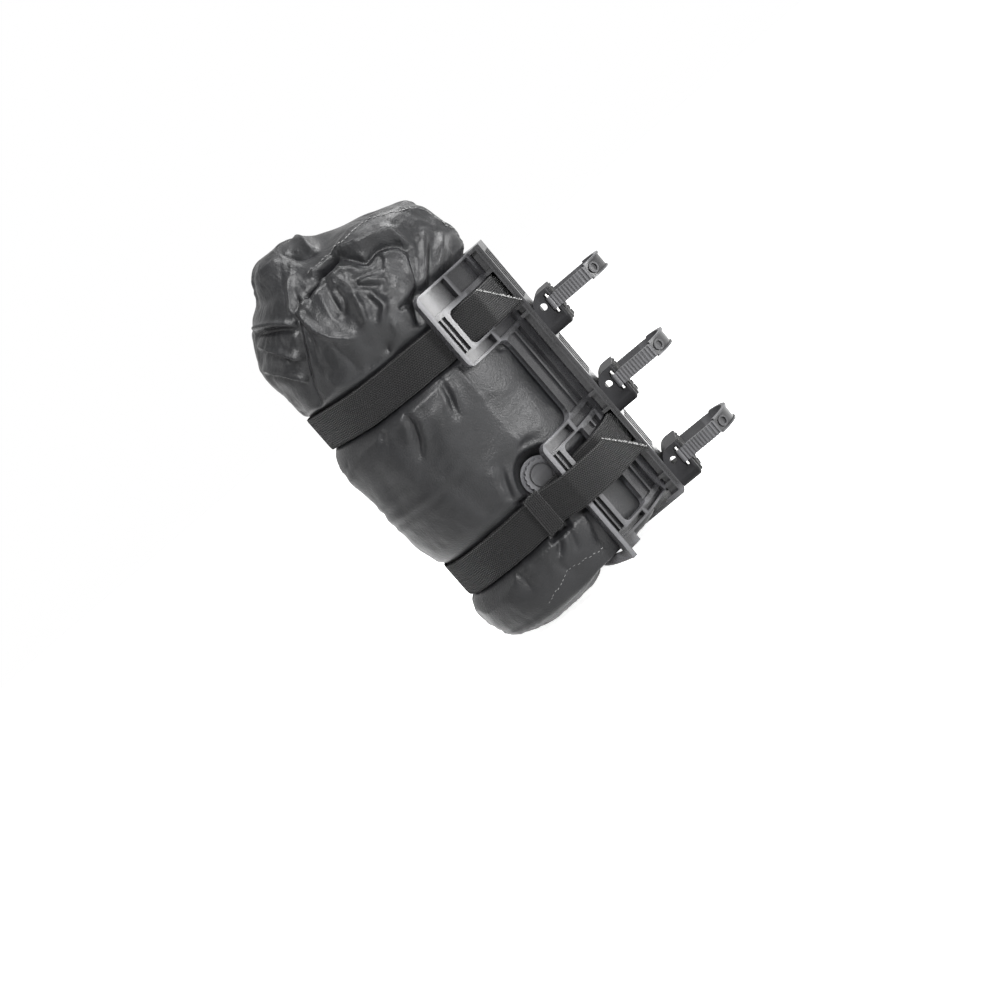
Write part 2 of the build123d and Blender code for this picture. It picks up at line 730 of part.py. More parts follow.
def dry_bag():
    """The packed bag with its rolled top, its strap grooves and the valve's seat."""
    body = bag_body() + rolled_top()
    grooves = [
        strap_groove(upper_strap, upper_strap["r"] - bag_gap),
        strap_groove(lower_strap, lower_strap["r"] - bag_gap),
    ]
    seat_x = valve_seat_x()
    pocket = cylinder_x(valve_flange_r + bag_gap, seat_x, 90, 0, valve_z)
    cone = Pos(seat_x + 12.0, 0, valve_z) * Rot(0, 90, 0) * Cone(
        valve_flange_r + 1, valve_flange_r + 9, 16)
    barrel = cylinder_x(6.3, seat_x - 8.7, seat_x + 1, 0, valve_z)
    valve_room = valve_place() * (pocket + cone + barrel)
    floor_room = box(-90, 90, hoop_front - bag_gap - 0.2, 0, -140, floor_top + bag_gap)
    low_cut = box(-90, 90, hoop_front - 0.2, 0, -140, hoop_low + hoop_h + bag_gap)
    outer = sector(trough_r - bag_gap, trough_r + 40, -wing_angle - 3, wing_angle + 3,
                   -140, wing_top + 0.6)
    rooms = [keeper_room(), buckle_room(upper_strap), buckle_room(lower_strap)]
    return body - grooves - [valve_room, floor_room, low_cut, outer] - rooms


def keeper_room():
    """Space in the bag under the keeper's inner side."""
    half = webbing_w / 2 + 3 * loose_gap + 2.0
    room = sector(lower_strap["r"] - 2.2, lower_strap["r"] + 12, tail_leave - 1.0,
                  tail_leave + 13.0, -half, half, centre_y=lower_strap["centre"])
    return strap_place(lower_strap) * room


def buckle_room(strap_values):
    """Space in the bag under a buckle."""
    inner = buckle_base_r(strap_values) + bar_n - bar_r - bag_gap
    cy = strap_values["centre"]
    reach = plate_gap + plate_t + 1.2
    room = box(-90, -inner, cy - buckle_half - 1, cy + buckle_half + 1, -reach, reach)
    return strap_place(strap_values) * room


def valve_place():
    """Moves the valve's pieces, made along X, to their angle around the bag."""
    return Pos(0, lower_strap["centre"], 0) * Rot(0, 0, 90 - valve_angle)


def valve_seat_x():
    """Distance from the strap's centre to the underside of the valve's flange."""
    return knob_face - knob_h - bag_gap - valve_flange_t


def valve_body():
    """The valve's flange and barrel, welded into the bag."""
    seat_x = valve_seat_x()
    flange = cylinder_x(valve_flange_r, seat_x, seat_x + valve_flange_t, 0, valve_z)
    barrel = cylinder_x(6.0, seat_x - 7.0, seat_x + 0.5, 0, valve_z)
    bore = cylinder_x(valve_bore_r, seat_x - 9, seat_x + 5, 0, valve_z)
    return valve_place() * (flange + barrel - bore)


def valve_knob():
    """The scalloped knob with its stem and the snap rim at the stem's end."""
    scallops = 18
    disc = cylinder_x(knob_r, knob_face - knob_h, knob_face - 0.5, 0, valve_z)
    cuts = []
    for k in range(scallops):
        a = 2 * math.pi * k / scallops
        cuts.append(cylinder_x(1.15, knob_face - knob_h - 1, knob_face + 1,
                               (knob_r + 0.45) * math.cos(a),
                               valve_z + (knob_r + 0.45) * math.sin(a)))
    button = cylinder_x(7.4, knob_face - 1.0, knob_face, 0, valve_z)
    ring = cylinder_x(7.9, knob_face - 1.3, knob_face + 1, 0, valve_z)
    ring = ring - cylinder_x(7.0, knob_face - 2, knob_face + 2, 0, valve_z)
    stem_low = valve_seat_x() - 8.2
    stem = cylinder_x(valve_bore_r - 0.06, stem_low, knob_face - knob_h + 0.5, 0, valve_z)
    snap = cylinder_x(valve_bore_r + 0.5, stem_low, stem_low + 1.0, 0, valve_z)
    return valve_place() * (disc - cuts + button - ring + stem + snap)


def build():
    """Every piece, by node name."""
    pieces = {"cage_frame": cage_frame()}
    for name, z in base_names.items():
        pieces["mount_base_" + name] = mount_base(z)
        pieces["saddle_pad_" + name] = saddle_pad(z)
        pieces["tie_band_" + name] = tie_band(z)
        pieces["anchor_pin_" + name] = anchor_pin(z)
        pieces["mount_screw_" + name] = mount_screw(z)
        pieces["thread_insert_" + name] = thread_insert(z)
    for name, values in (("upper", upper_strap), ("lower", lower_strap)):
        pieces["strap_" + name] = strap(values, tail_outside=name == "lower")
        pieces["buckle_frame_" + name] = buckle_frame(values)
        pieces["buckle_cam_" + name] = buckle_cam(values)
        pieces["cam_pin_" + name] = cam_pin(values)
    pieces["keeper_loop"] = keeper()
    pieces["dry_bag"] = dry_bag()
    pieces["valve_body"] = valve_body()
    pieces["valve_knob"] = valve_knob()
    return pieces


os.makedirs("parts", exist_ok=True)
for node, shape in build().items():
    export_step(shape, f"parts/{node}.step")
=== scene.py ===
import math
import bpy
import numpy as np
from mathutils import Euler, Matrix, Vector


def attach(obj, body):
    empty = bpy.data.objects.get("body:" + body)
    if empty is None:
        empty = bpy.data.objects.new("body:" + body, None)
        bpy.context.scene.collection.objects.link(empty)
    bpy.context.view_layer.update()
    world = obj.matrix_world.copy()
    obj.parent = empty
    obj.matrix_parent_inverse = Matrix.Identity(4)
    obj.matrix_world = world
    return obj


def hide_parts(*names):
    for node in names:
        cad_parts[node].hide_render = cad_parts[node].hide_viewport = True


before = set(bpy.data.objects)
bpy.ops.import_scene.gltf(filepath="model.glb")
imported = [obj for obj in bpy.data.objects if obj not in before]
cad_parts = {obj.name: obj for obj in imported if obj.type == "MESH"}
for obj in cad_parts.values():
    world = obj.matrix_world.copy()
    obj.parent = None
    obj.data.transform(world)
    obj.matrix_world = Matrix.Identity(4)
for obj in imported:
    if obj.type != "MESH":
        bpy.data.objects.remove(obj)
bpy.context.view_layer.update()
MM = 0.001
rng = np.random.default_rng(7)

# Sizes repeated from the part's source, in millimetres and degrees
TROUGH_Y, TROUGH_R, TROUGH_TOP, LIP_R = -120.0, 75.3, 123.6, 82.3
WING_ANGLE, MID_ANGLE = 61.4, 35.0
HOOP_R, HOOP_Y, HOOP_TOP = 103.8, -109.4, -78.9
WEB_T, WEB_W, LAYER_GAP, BACK_R = 1.5, 24.4, 0.3, 81.4
WING_LEAVE, TAIL_LEAVE, TAIL_SAG = 64.0, 75.0, 7.0
UPPER = {"z": 91.7, "tilt": -1.2, "centre": -118.9, "r": 70.6, "rise": 2.6}
LOWER = {"z": -28.9, "tilt": 3.2, "centre": -116.2, "r": 68.2, "rise": -0.9}
VALVE_ANGLE, VALVE_Z, KNOB_FACE = 68.6, -10.3, 66.5


def smooth_step(value, low, high):
    """0 below low, 1 above high, and an S-shaped rise between them."""
    t = np.clip((value - low) / (high - low), 0, 1)
    return t * t * (3 - 2 * t)


def strap_level(strap, y):
    """Height of a strap's middle line, tilted and drawn up or down at the bag's front."""
    lean = math.tan(math.radians(strap["tilt"]))
    return (strap["z"] + (y - strap["centre"]) * lean
            + strap["rise"] * smooth_step(-y, 140.0, 185.0))


def new_object(name, verts, faces, uvs=None, smooth=True):
    """A mesh object from points in millimetres, with one UV place for each point."""
    mesh = bpy.data.meshes.new(name)
    mesh.from_pydata((np.asarray(verts, float) * MM).tolist(), [],
                     [tuple(int(k) for k in f) for f in faces])
    if uvs is not None:
        layer = mesh.uv_layers.new(name="UVMap")
        index = np.empty(len(mesh.loops), int)
        mesh.loops.foreach_get("vertex_index", index)
        layer.data.foreach_set("uv", np.asarray(uvs, float)[index].ravel())
    mesh.polygons.foreach_set("use_smooth", [smooth] * len(mesh.polygons))
    mesh.update()
    made = bpy.data.objects.new(name, mesh)
    bpy.context.scene.collection.objects.link(made)
    return made


def grid_faces(rows, cols, wrap_cols=False, wrap_rows=False):
    """Quads over a grid of rows by cols."""
    i = np.arange(rows if wrap_rows else rows - 1)
    j = np.arange(cols if wrap_cols else cols - 1)
    a, b = np.meshgrid(i, j, indexing="ij")
    a2, b2 = (a + 1) % rows, (b + 1) % cols
    return np.stack([a * cols + b, a * cols + b2, a2 * cols + b2, a2 * cols + b], -1).reshape(-1, 4)


# Materials

def math_node(tree, operation, *values):
    """The output of a Math node whose inputs are other outputs or plain numbers."""
    node = tree.nodes.new("ShaderNodeMath")
    node.operation = operation
    for slot, value in zip(node.inputs, values):
        if isinstance(value, (int, float)):
            slot.default_value = value
        else:
            tree.links.new(value, slot)
    return node.outputs[0]


def node_group(name, given, made):
    """An empty shader group with named inputs and outputs, and its two end nodes."""
    group = bpy.data.node_groups.new(name, "ShaderNodeTree")
    for way, sockets in (("INPUT", given), ("OUTPUT", made)):
        for title, kind in sockets:
            group.interface.new_socket(title, in_out=way, socket_type="NodeSocket" + kind)
    return group, group.nodes.new("NodeGroupInput"), group.nodes.new("NodeGroupOutput")


def relief_group():
    """Moulded or woven grain plus broad unevenness: two noises on Object coordinates."""
    group, given, made = node_group(
        "relief", [("Fine scale", "Float"), ("Broad scale", "Float"), ("Depth", "Float")],
        [("Normal", "Vector"), ("Broad", "Float"), ("Fine", "Float")])
    place = group.nodes.new("ShaderNodeTexCoord")
    heights = []
    for title, detail in (("Fine", 3.0), ("Broad", 4.0)):
        noise = group.nodes.new("ShaderNodeTexNoise")
        noise.inputs["Detail"].default_value = detail
        group.links.new(place.outputs["Object"], noise.inputs["Vector"])
        group.links.new(given.outputs[title + " scale"], noise.inputs["Scale"])
        group.links.new(noise.outputs[0], made.inputs[title])
        heights.append(noise.outputs[0])
    bump = group.nodes.new("ShaderNodeBump")
    bump.inputs["Strength"].default_value = 0.35
    group.links.new(given.outputs["Depth"], bump.inputs["Distance"])
    group.links.new(math_node(group, "ADD", *heights), bump.inputs["Height"])
    group.links.new(bump.outputs["Normal"], made.inputs["Normal"])
    return group


def edge_highlight_group():
    """Painted highlight: a paler colour where the mesh bends outward, by its pointiness."""
    group, given, made = node_group(
        "painted_edge_highlight", [("Colour", "Color"), ("Edge highlight colour", "Color"), ("Amount", "Float")],
        [("Colour", "Color")])
    shape = group.nodes.new("ShaderNodeNewGeometry")
    edge = group.nodes.new("ShaderNodeMapRange")
    edge.inputs["From Min"].default_value = 0.53
    edge.inputs["From Max"].default_value = 0.66
    group.links.new(given.outputs["Amount"], edge.inputs["To Max"])
    group.links.new(shape.outputs["Pointiness"], edge.inputs["Value"])
    mix = group.nodes.new("ShaderNodeMix")
    mix.data_type = "RGBA"
    share, first, second = mix.inputs[0], mix.inputs[6], mix.inputs[7]
    group.links.new(edge.outputs["Result"], share)
    group.links.new(given.outputs["Colour"], first)
    group.links.new(given.outputs["Edge highlight colour"], second)
    group.links.new(mix.outputs[2], made.inputs["Colour"])
    return group


def weave_group():
    """Plain weave on a UV map in millimetres.

    The height is a sine across the strip plus a sine along it, which moves on by a
    quarter wave from one row of threads to the next.
    """
    group, given, made = node_group(
        "weave", [("Pitch along", "Float"), ("Pitch across", "Float"), ("Depth", "Float"),
                  ("Normal", "Vector")], [("Normal", "Vector"), ("Height", "Float")])
    uv = group.nodes.new("ShaderNodeUVMap")
    split = group.nodes.new("ShaderNodeSeparateXYZ")
    group.links.new(uv.outputs["UV"], split.inputs[0])
    along, across = split.outputs[0], split.outputs[1]

    def turns(place, pitch, share=1.0):
        rate = math_node(group, "DIVIDE", 2 * math.pi * share, pitch)
        return math_node(group, "MULTIPLY", place, rate)

    rows = math_node(group, "SINE", turns(across, given.outputs["Pitch across"]))
    every_other = math_node(group, "SINE", turns(across, given.outputs["Pitch across"], 0.5))
    shift = math_node(group, "MULTIPLY", math_node(group, "SIGN", every_other), math.pi / 2)
    phase = math_node(group, "ADD", turns(along, given.outputs["Pitch along"]), shift)
    height = math_node(group, "ADD", rows, math_node(group, "SINE", phase))
    bump = group.nodes.new("ShaderNodeBump")
    bump.inputs["Strength"].default_value = 0.8
    group.links.new(given.outputs["Depth"], bump.inputs["Distance"])
    group.links.new(given.outputs["Normal"], bump.inputs["Normal"])
    group.links.new(height, bump.inputs["Height"])
    group.links.new(bump.outputs["Normal"], made.inputs["Normal"])
    group.links.new(height, made.inputs["Height"])
    return group


RELIEF, EDGE_HIGHLIGHT, WEAVE = relief_group(), edge_highlight_group(), weave_group()


def place_group(mat, group, values):
    """A group node in a material, with its inputs set by name."""
    node = mat.node_tree.nodes.new("ShaderNodeGroup")
    node.node_tree = group
    for title, value in values.items():
        node.inputs[title].default_value = value
    return node


def ramp_between(mat, value, low, high, dark, light):
    """A colour ramp on a value, from dark at low to light at high."""
    ramp = mat.node_tree.nodes.new("ShaderNodeValToRGB")
    ramp.color_ramp.elements[0].position = low
    ramp.color_ramp.elements[1].position = high
    ramp.color_ramp.elements[0].color = (*dark, 1)
    ramp.color_ramp.elements[1].color = (*light, 1)
    mat.node_tree.links.new(value, ramp.inputs["Fac"])
    return ramp.outputs["Color"]


def surface(name, dark, light, rough, fine, broad, depth, metallic=0.0, specular=0.5,
            sheen=0.0, edge_highlight=0.0):
    """A principled material with grain, broad colour changes and paler edges as a painted
    highlight.
    """
    mat = bpy.data.materials.new(name)
    mat.use_nodes = True
    nodes, links = mat.node_tree.nodes, mat.node_tree.links
    bsdf = nodes["Principled BSDF"]
    bsdf.inputs["Metallic"].default_value = metallic
    bsdf.inputs["Specular IOR Level"].default_value = specular
    if sheen:
        bsdf.inputs["Sheen Weight"].default_value = sheen
        bsdf.inputs["Sheen Roughness"].default_value = 0.45
    relief = place_group(mat, RELIEF, {"Fine scale": fine, "Broad scale": broad, "Depth": depth})
    links.new(relief.outputs["Normal"], bsdf.inputs["Normal"])
    colour = ramp_between(mat, relief.outputs["Broad"], 0.35, 0.68, dark, light)
    # The edges are painted paler, as the highlight that light leaves on them.
    if edge_highlight:
        highlight_colour = (*(6 * value for value in light), 1)
        highlit = place_group(mat, EDGE_HIGHLIGHT, {"Edge highlight colour": highlight_colour, "Amount": edge_highlight})
        links.new(colour, highlit.inputs["Colour"])
        colour = highlit.outputs["Colour"]
    links.new(colour, bsdf.inputs["Base Color"])
    spread = nodes.new("ShaderNodeMapRange")
    spread.inputs["To Min"].default_value = rough - 0.06
    spread.inputs["To Max"].default_value = rough + 0.08
    links.new(relief.outputs["Fine"], spread.inputs["Value"])
    links.new(spread.outputs["Result"], bsdf.inputs["Roughness"])
    return mat


def woven_with_painted_shade(mat, along, across, depth, dark, light):
    """Adds the weave's bump to a material, and colours it by the weave's height: painted shade
    between the threads and a painted highlight on their crowns.
    """
    nodes, links = mat.node_tree.nodes, mat.node_tree.links
    bsdf = nodes["Principled BSDF"]
    weave = place_group(mat, WEAVE, {"Pitch along": along, "Pitch across": across,
                                     "Depth": depth})
    links.new(bsdf.inputs["Normal"].links[0].from_socket, weave.inputs["Normal"])
    links.new(weave.outputs["Normal"], bsdf.inputs["Normal"])
    # Painted shade and highlight: the colour runs from dark in the weave's hollows to light on its
    # crowns.
    spread = nodes.new("ShaderNodeMapRange")
    spread.inputs["From Min"].default_value = -1.6
    spread.inputs["From Max"].default_value = 1.6
    links.new(weave.outputs["Height"], spread.inputs["Value"])
    links.new(ramp_between(mat, spread.outputs["Result"], 0.1, 0.9, dark, light),
              bsdf.inputs["Base Color"])
    return mat


# Each finish: dark and light colour, roughness, grain scales, grain depth in metres, and how far
# its edges are painted paler as a highlight
BLACK = surface("cage_plastic", (0.005, 0.005, 0.0054), (0.010, 0.010, 0.0106), 0.27,
                2600, 34, 0.00012, specular=0.20, edge_highlight=0.7)
BASE = surface("base_plastic", (0.003, 0.003, 0.0033), (0.0050, 0.0050, 0.0053), 0.40,
               2400, 45, 0.00012, specular=0.04, edge_highlight=0.3)
BAND = surface("band_plastic", (0.004, 0.004, 0.0044), (0.009, 0.009, 0.0095), 0.33,
               1800, 60, 0.00008, specular=0.22, edge_highlight=0.5)
RUBBER = surface("pad_rubber", (0.006, 0.006, 0.006), (0.011, 0.011, 0.011), 0.72,
                 3000, 70, 0.00012, specular=0.25)
STEEL = surface("steel", (0.50, 0.50, 0.49), (0.62, 0.62, 0.61), 0.30, 2200, 90, 0.00003,
                metallic=1.0)
BRASS = surface("brass", (0.56, 0.42, 0.19), (0.68, 0.52, 0.25), 0.34, 2200, 90, 0.00003,
                metallic=1.0)
BUCKLE = surface("buckle_plastic", (0.006, 0.006, 0.0065), (0.012, 0.012, 0.013), 0.36,
                 2500, 60, 0.00008, specular=0.25, edge_highlight=0.3)
VALVE = surface("valve_plastic", (0.007, 0.007, 0.0075), (0.014, 0.014, 0.015), 0.4,
                2500, 80, 0.00008, specular=0.25, edge_highlight=0.4)
FABRIC = surface("bag_fabric", (0.0024, 0.0025, 0.0028), (0.0046, 0.0047, 0.0052), 0.39,
                 900, 75, 0.0008, specular=0.175, sheen=0.01)
# The webbing's last two colours are the painted shade between threads and the painted highlight on
# them.
WEBBING = woven_with_painted_shade(surface("webbing", (0.01, 0.01, 0.01), (0.02, 0.02, 0.02), 0.8, 2500, 60,
                        0.0001, specular=0.08, sheen=0.04),
                1.7, 1.35, 0.0004, (0.0006, 0.0006, 0.0006), (0.0070, 0.0070, 0.0072))
KEEPER = woven_with_painted_shade(surface("webbing_keeper", (0.01, 0.01, 0.01), (0.02, 0.02, 0.02), 0.75,
                       2500, 60, 0.0001, specular=0.08, sheen=0.04),
               1.6, 1.3, 0.0004, (0.0006, 0.0006, 0.0006), (0.0085, 0.0085, 0.0087))
# Pale thread. Along the rim it also stands in for the hem's highlight, as a painted highlight.
THREAD_AND_HEM_HIGHLIGHT = surface("seam_thread_and_hem_highlight", (0.04, 0.04, 0.04), (0.09, 0.09, 0.09), 0.6, 1500, 60, 0.00005,
                 specular=0.25)
FIBRE = surface("cut_fibres", (0.20, 0.20, 0.20), (0.34, 0.34, 0.33), 0.7, 900, 60, 0.00005,
                specular=0.25)

BY_NAME = {"cage_frame": BLACK, "mount_base": BASE, "saddle_pad": RUBBER,
           "tie_band": BAND, "anchor_pin": STEEL, "mount_screw": STEEL,
           "thread_insert": BRASS, "buckle_frame": BUCKLE, "buckle_cam": BUCKLE,
           "cam_pin": STEEL, "strap": WEBBING, "keeper_loop": KEEPER, "dry_bag": FABRIC,
           "valve": VALVE}
for node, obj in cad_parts.items():
    for start, mat in BY_NAME.items():
        if node.startswith(start):
            obj.data.materials.clear()
            obj.data.materials.append(mat)
            break


def soften(obj, width, angle=32):
    """Rounds a moulded piece's edges and shades its curved faces smooth."""
    obj.data.polygons.foreach_set("use_smooth", [True] * len(obj.data.polygons))
    bevel = obj.modifiers.new("edge", "BEVEL")
    bevel.width = width * MM
    bevel.segments = 2
    bevel.limit_method = "ANGLE"
    bevel.angle_limit = math.radians(angle)
    bevel.use_clamp_overlap = True
    bevel.harden_normals = True
    normals = obj.modifiers.new("normals", "WEIGHTED_NORMAL")
    normals.keep_sharp = True


for node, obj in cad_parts.items():
    if node.startswith(("cage_frame", "mount_base", "buckle", "keeper")):
        soften(obj, 0.35)
    elif not node.startswith(("strap", "dry_bag")):
        soften(obj, 0.12)


# Webbing

def ring(r, angle, centre_y=TROUGH_Y):
    """The point at a radius and an angle, which is 0 at the spine and 90 on the near side."""
    a = math.radians(angle)
    return np.array([r * math.sin(a), centre_y + r * math.cos(a)])


def arc(r, a0, a1, centre_y=TROUGH_Y, step=1.5):
    """Points on a circle from one angle to another, about a step of degrees apart."""
    count = max(2, int(abs(a1 - a0) / step))
    return [ring(r, a, centre_y) for a in np.linspace(a0, a1, count)]


def angle_of(point, cy):
    """The angle of a point, as ring() counts it."""
    return math.degrees(math.atan2(point[0], point[1] - cy))


def resample(points, step):
    """A line of points cut into even steps, and how far along each new point lies."""
    points = np.array(points)
    seg = np.r_[0, np.cumsum(np.linalg.norm(np.diff(points, axis=0), axis=1))]
    keep = np.r_[True, np.diff(seg) > 1e-6]
    points, seg = points[keep], seg[keep]
    s = np.linspace(0, seg[-1], int(seg[-1] / step) + 1)
    return np.stack([np.interp(s, seg, points[:, k]) for k in range(points.shape[1])], 1), s


# How the webbing lies: where it passes behind a wing, as radius and angle, and the
# buckle's points, as distance past its middle and height over its floor
WING_PASS, TAIL_PASS = (72.55, 50.0), (74.35, 50.0)
BUCKLE_START = (12.3, -0.7 - WEB_T / 2)
BUCKLE_WAY = [(-10.5, 2.45), (4.5, 2.45), (10.0, 4.55), (13.5, 4.55)]
BUCKLE_FRONT, BUCKLE_ENTRY, TAIL_START = -11.5, 23.5, -32.5
SPINE_END, TAIL_TIP = 25.0, (22.0, -34.0)
# The tail begins past this share of the line, and ends on a slanted cut at this y
TAIL_SHARE, CUT_Y, CUT_SLANT = 0.62, -50.5, 16.0


def webbing_path(strap, outside):
    """The whole webbing's line: buckle bar, front, near wing, spine, far wing, buckle, tail."""
    cy = strap["centre"]
    main_r = strap["r"] + WEB_T / 2
    tail_r = main_r + WEB_T + LAYER_GAP
    floor_r = strap["r"] + WEB_T + 0.9

    def at_buckle(past, height):
        return np.array([-(floor_r + height), cy - past])

    def at_wing(place, side=1):
        return ring(place[0], side * place[1])

    start = angle_of((-main_r, cy + BUCKLE_FRONT), cy) + 360
    entry = angle_of((-main_r, cy + BUCKLE_ENTRY), cy)
    line = [at_buckle(*BUCKLE_START)]
    line += arc(main_r, start - 2.5, WING_LEAVE, cy)
    line += [at_wing(WING_PASS)]
    line += arc(BACK_R, MID_ANGLE + 1, -MID_ANGLE - 1)
    line += [at_wing(WING_PASS, -1)]
    line += arc(main_r, -WING_LEAVE, entry, cy)
    line += [at_buckle(*point) for point in BUCKLE_WAY]
    leave = angle_of((-tail_r, cy + TAIL_START), cy) + 360
    line += arc(tail_r, leave, TAIL_LEAVE if outside else WING_LEAVE, cy)
    if outside:
        line += arc(LIP_R + WEB_T / 2 + 1.4, WING_ANGLE + 1, SPINE_END)
    else:
        line += [at_wing(TAIL_PASS)]
        line += arc(BACK_R + WEB_T + 2 * LAYER_GAP, MID_ANGLE + 1, SPINE_END)
    return line + [np.array(TAIL_TIP)]


def cut_slant(verts, height, tail):
    """Cuts the tail's end on a slant: points past the cut move back onto it, column by column."""
    stop = CUT_Y + (WEB_W / 2 - height) / WEB_W * CUT_SLANT
    beyond = verts[:, :, 1] > stop
    ended = beyond.any(1) & tail
    ended = np.cumprod(ended[::-1])[::-1] == 1
    gone = beyond & ended[:, None]
    last = len(verts) - 1 - np.argmax(~gone[::-1], axis=0)
    column = np.arange(len(height))
    a, b = verts[last - 1, column], verts[last, column]
    share = np.clip((stop - b[:, 1]) / np.maximum(1e-6, b[:, 1] - a[:, 1]), 0, 1)
    end = b + (b - a) * share[:, None]
    past = np.arange(len(verts))[:, None] - last
    hair = np.maximum(past, 0)[..., None] * 1e-4 * np.array([0.3, 0.9, 0])
    return np.where((past >= 0)[..., None], end + hair, verts)


def ribbon(name, strap, outside):
    """Webbing: a flat profile with thin edges, carried along its line.

    A point is the line's point plus its normal times the profile's thickness, at the
    strap's level plus the profile's height and a slight ripple.
    """
    pts, s = resample(webbing_path(strap, outside), 0.8)
    for _ in range(3):
        pts[1:-1] = (pts[:-2] + 2 * pts[1:-1] + pts[2:]) / 4
    tangent = np.gradient(pts, axis=0)
    tangent /= np.linalg.norm(tangent, axis=1)[:, None]
    normal = np.stack([-tangent[:, 1], tangent[:, 0]], 1)
    level = strap_level(strap, pts[:, 1])
    tail = (np.arange(len(pts)) >= int(len(pts) * TAIL_SHARE)) & (pts[:, 0] >= 0)
    if outside:
        pivot = ring(strap["r"], TAIL_LEAVE, strap["centre"])[1]
        drop = np.maximum(0, pts[:, 1] - pivot) * math.tan(math.radians(TAIL_SAG))
        level = level - np.where(tail, drop, 0)
    across = np.linspace(-1, 1, 13)
    thin = WEB_T / 2 * (1 - 0.35 * np.abs(across) ** 10)
    height = WEB_W / 2 * np.r_[across, across[::-1]]
    offset = np.r_[thin, -thin[::-1]]
    ripple = 0.10 * np.sin(s / 7.0 + 0.8) + 0.06 * np.sin(s / 3.1)
    place = pts[:, None] + normal[:, None] * offset[None, :, None]
    z = (level + ripple)[:, None] + height
    verts = cut_slant(np.concatenate([place, z[..., None]], -1), height, tail)
    uvs = np.stack(np.broadcast_arrays(s[:, None], height[None]), -1)
    rows, cols = z.shape
    ends = [tuple(range(cols))[::-1], tuple(range((rows - 1) * cols, rows * cols))]
    made = new_object(name, verts.reshape(-1, 3),
                      grid_faces(rows, cols, wrap_cols=True).tolist() + ends, uvs.reshape(-1, 2))
    made.data.materials.append(WEBBING)
    return made, verts[-1, :len(across)]


# The faces of one cut thread, over its five outer points and its raised middle
LEAF = [(4, 3, 2, 1, 0), (1, 5, 0), (2, 3, 5, 1), (3, 4, 0, 5)]


def fibres(name, end_line, forward, count=150):
    """Short pale threads at a cut end: thin leaves with a raised middle, at random tilts."""
    last = len(end_line) - 1
    draws = [(rng.uniform(0, last), rng.normal(0, 0.16, 3), rng.normal(0, 0.35, 3),
              rng.uniform(0.7, 1.7)) for _ in range(count)]
    t, jitter, bend, length = [np.array(column) for column in zip(*draws)]
    i = t.astype(int)
    step = end_line[np.minimum(i + 1, last)] - end_line[i]
    base = end_line[i] + step * (t - i)[:, None] + jitter
    way = forward + bend
    way *= (length / np.linalg.norm(way, axis=1))[:, None]
    side = np.cross(way, [1.0, 0, 0])
    side *= 0.10 / np.linalg.norm(side, axis=1)[:, None]
    middle = base + way * 0.6
    corners = [base - side, base + side, middle + side * 0.8, base + way, middle - side * 0.8,
               base + np.array([0.18, 0, 0]) + way * 0.3]
    faces = [tuple(6 * k + corner for corner in face) for k in range(count) for face in LEAF]
    made = new_object(name, np.stack(corners, 1).reshape(-1, 3), faces, smooth=False)
    made.data.materials.append(FIBRE)
    return made


for name, strap, outside in (("strap_upper", UPPER, False), ("strap_lower", LOWER, True)):
    webbing, end_line = ribbon(name + "_webbing", strap, outside)
    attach(webbing, "cage")
    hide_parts(name)
    fringe = fibres(name + "_cut_end", end_line, np.array([-0.35, 0.75, 0.1]))
    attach(fringe, "cage")


def keeper(first=TAIL_LEAVE + 1.8, last=TAIL_LEAVE + 11.0, thick=1.1):
    """The woven loop round both layers of the lower strap.

    A rounded rectangle of radius and height is swept over the strap's arc from the first
    to the last angle, and its thickness falls off at both edges.
    """
    low, high = LOWER["r"] - 0.9, LOWER["r"] + 2 * WEB_T + 4 * LAYER_GAP + 0.6
    half, corner = WEB_W / 2 + 1.1, 1.5
    outline = []
    for r, h, start in ((high - corner, half - corner, 0), (low + corner, half - corner, 90),
                        (low + corner, corner - half, 180), (high - corner, corner - half, 270)):
        turn = np.radians(np.linspace(start, start + 90, 7))
        outline += np.stack([r + corner * np.cos(turn), h + corner * np.sin(turn)], 1).tolist()
    line, s = resample(outline + outline[:1], 0.7)
    line, s = line[:-1], s[:-1]
    way = np.roll(line, -1, 0) - np.roll(line, 1, 0)
    way /= np.linalg.norm(way, axis=1)[:, None]
    out = np.stack([way[:, 1], -way[:, 0]], 1)
    u = np.r_[np.linspace(0, 1, 9), np.linspace(1, 0, 9)]
    offset = np.r_[np.full(9, thick / 2), np.full(9, -thick / 2)]
    offset = offset * (1 - 0.4 * np.abs(2 * u - 1) ** 8)
    place = line[:, None] + out[:, None] * offset[None, :, None]
    angle = np.radians(first + u * (last - first))
    y = LOWER["centre"] + place[..., 0] * np.cos(angle)
    verts = np.stack([place[..., 0] * np.sin(angle), y,
                      strap_level(LOWER, y) + place[..., 1]], -1)
    arc_length = math.radians(last - first) * high
    uvs = np.stack(np.broadcast_arrays(s[:, None], u[None] * arc_length), -1)
    faces = grid_faces(*y.shape, wrap_cols=True, wrap_rows=True)[:, ::-1]
    made = new_object("keeper_webbing", verts.reshape(-1, 3), faces, uvs.reshape(-1, 2))
    made.data.materials.append(KEEPER)
    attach(made, "cage")
    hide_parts("keeper_loop")


keeper()

# The bag

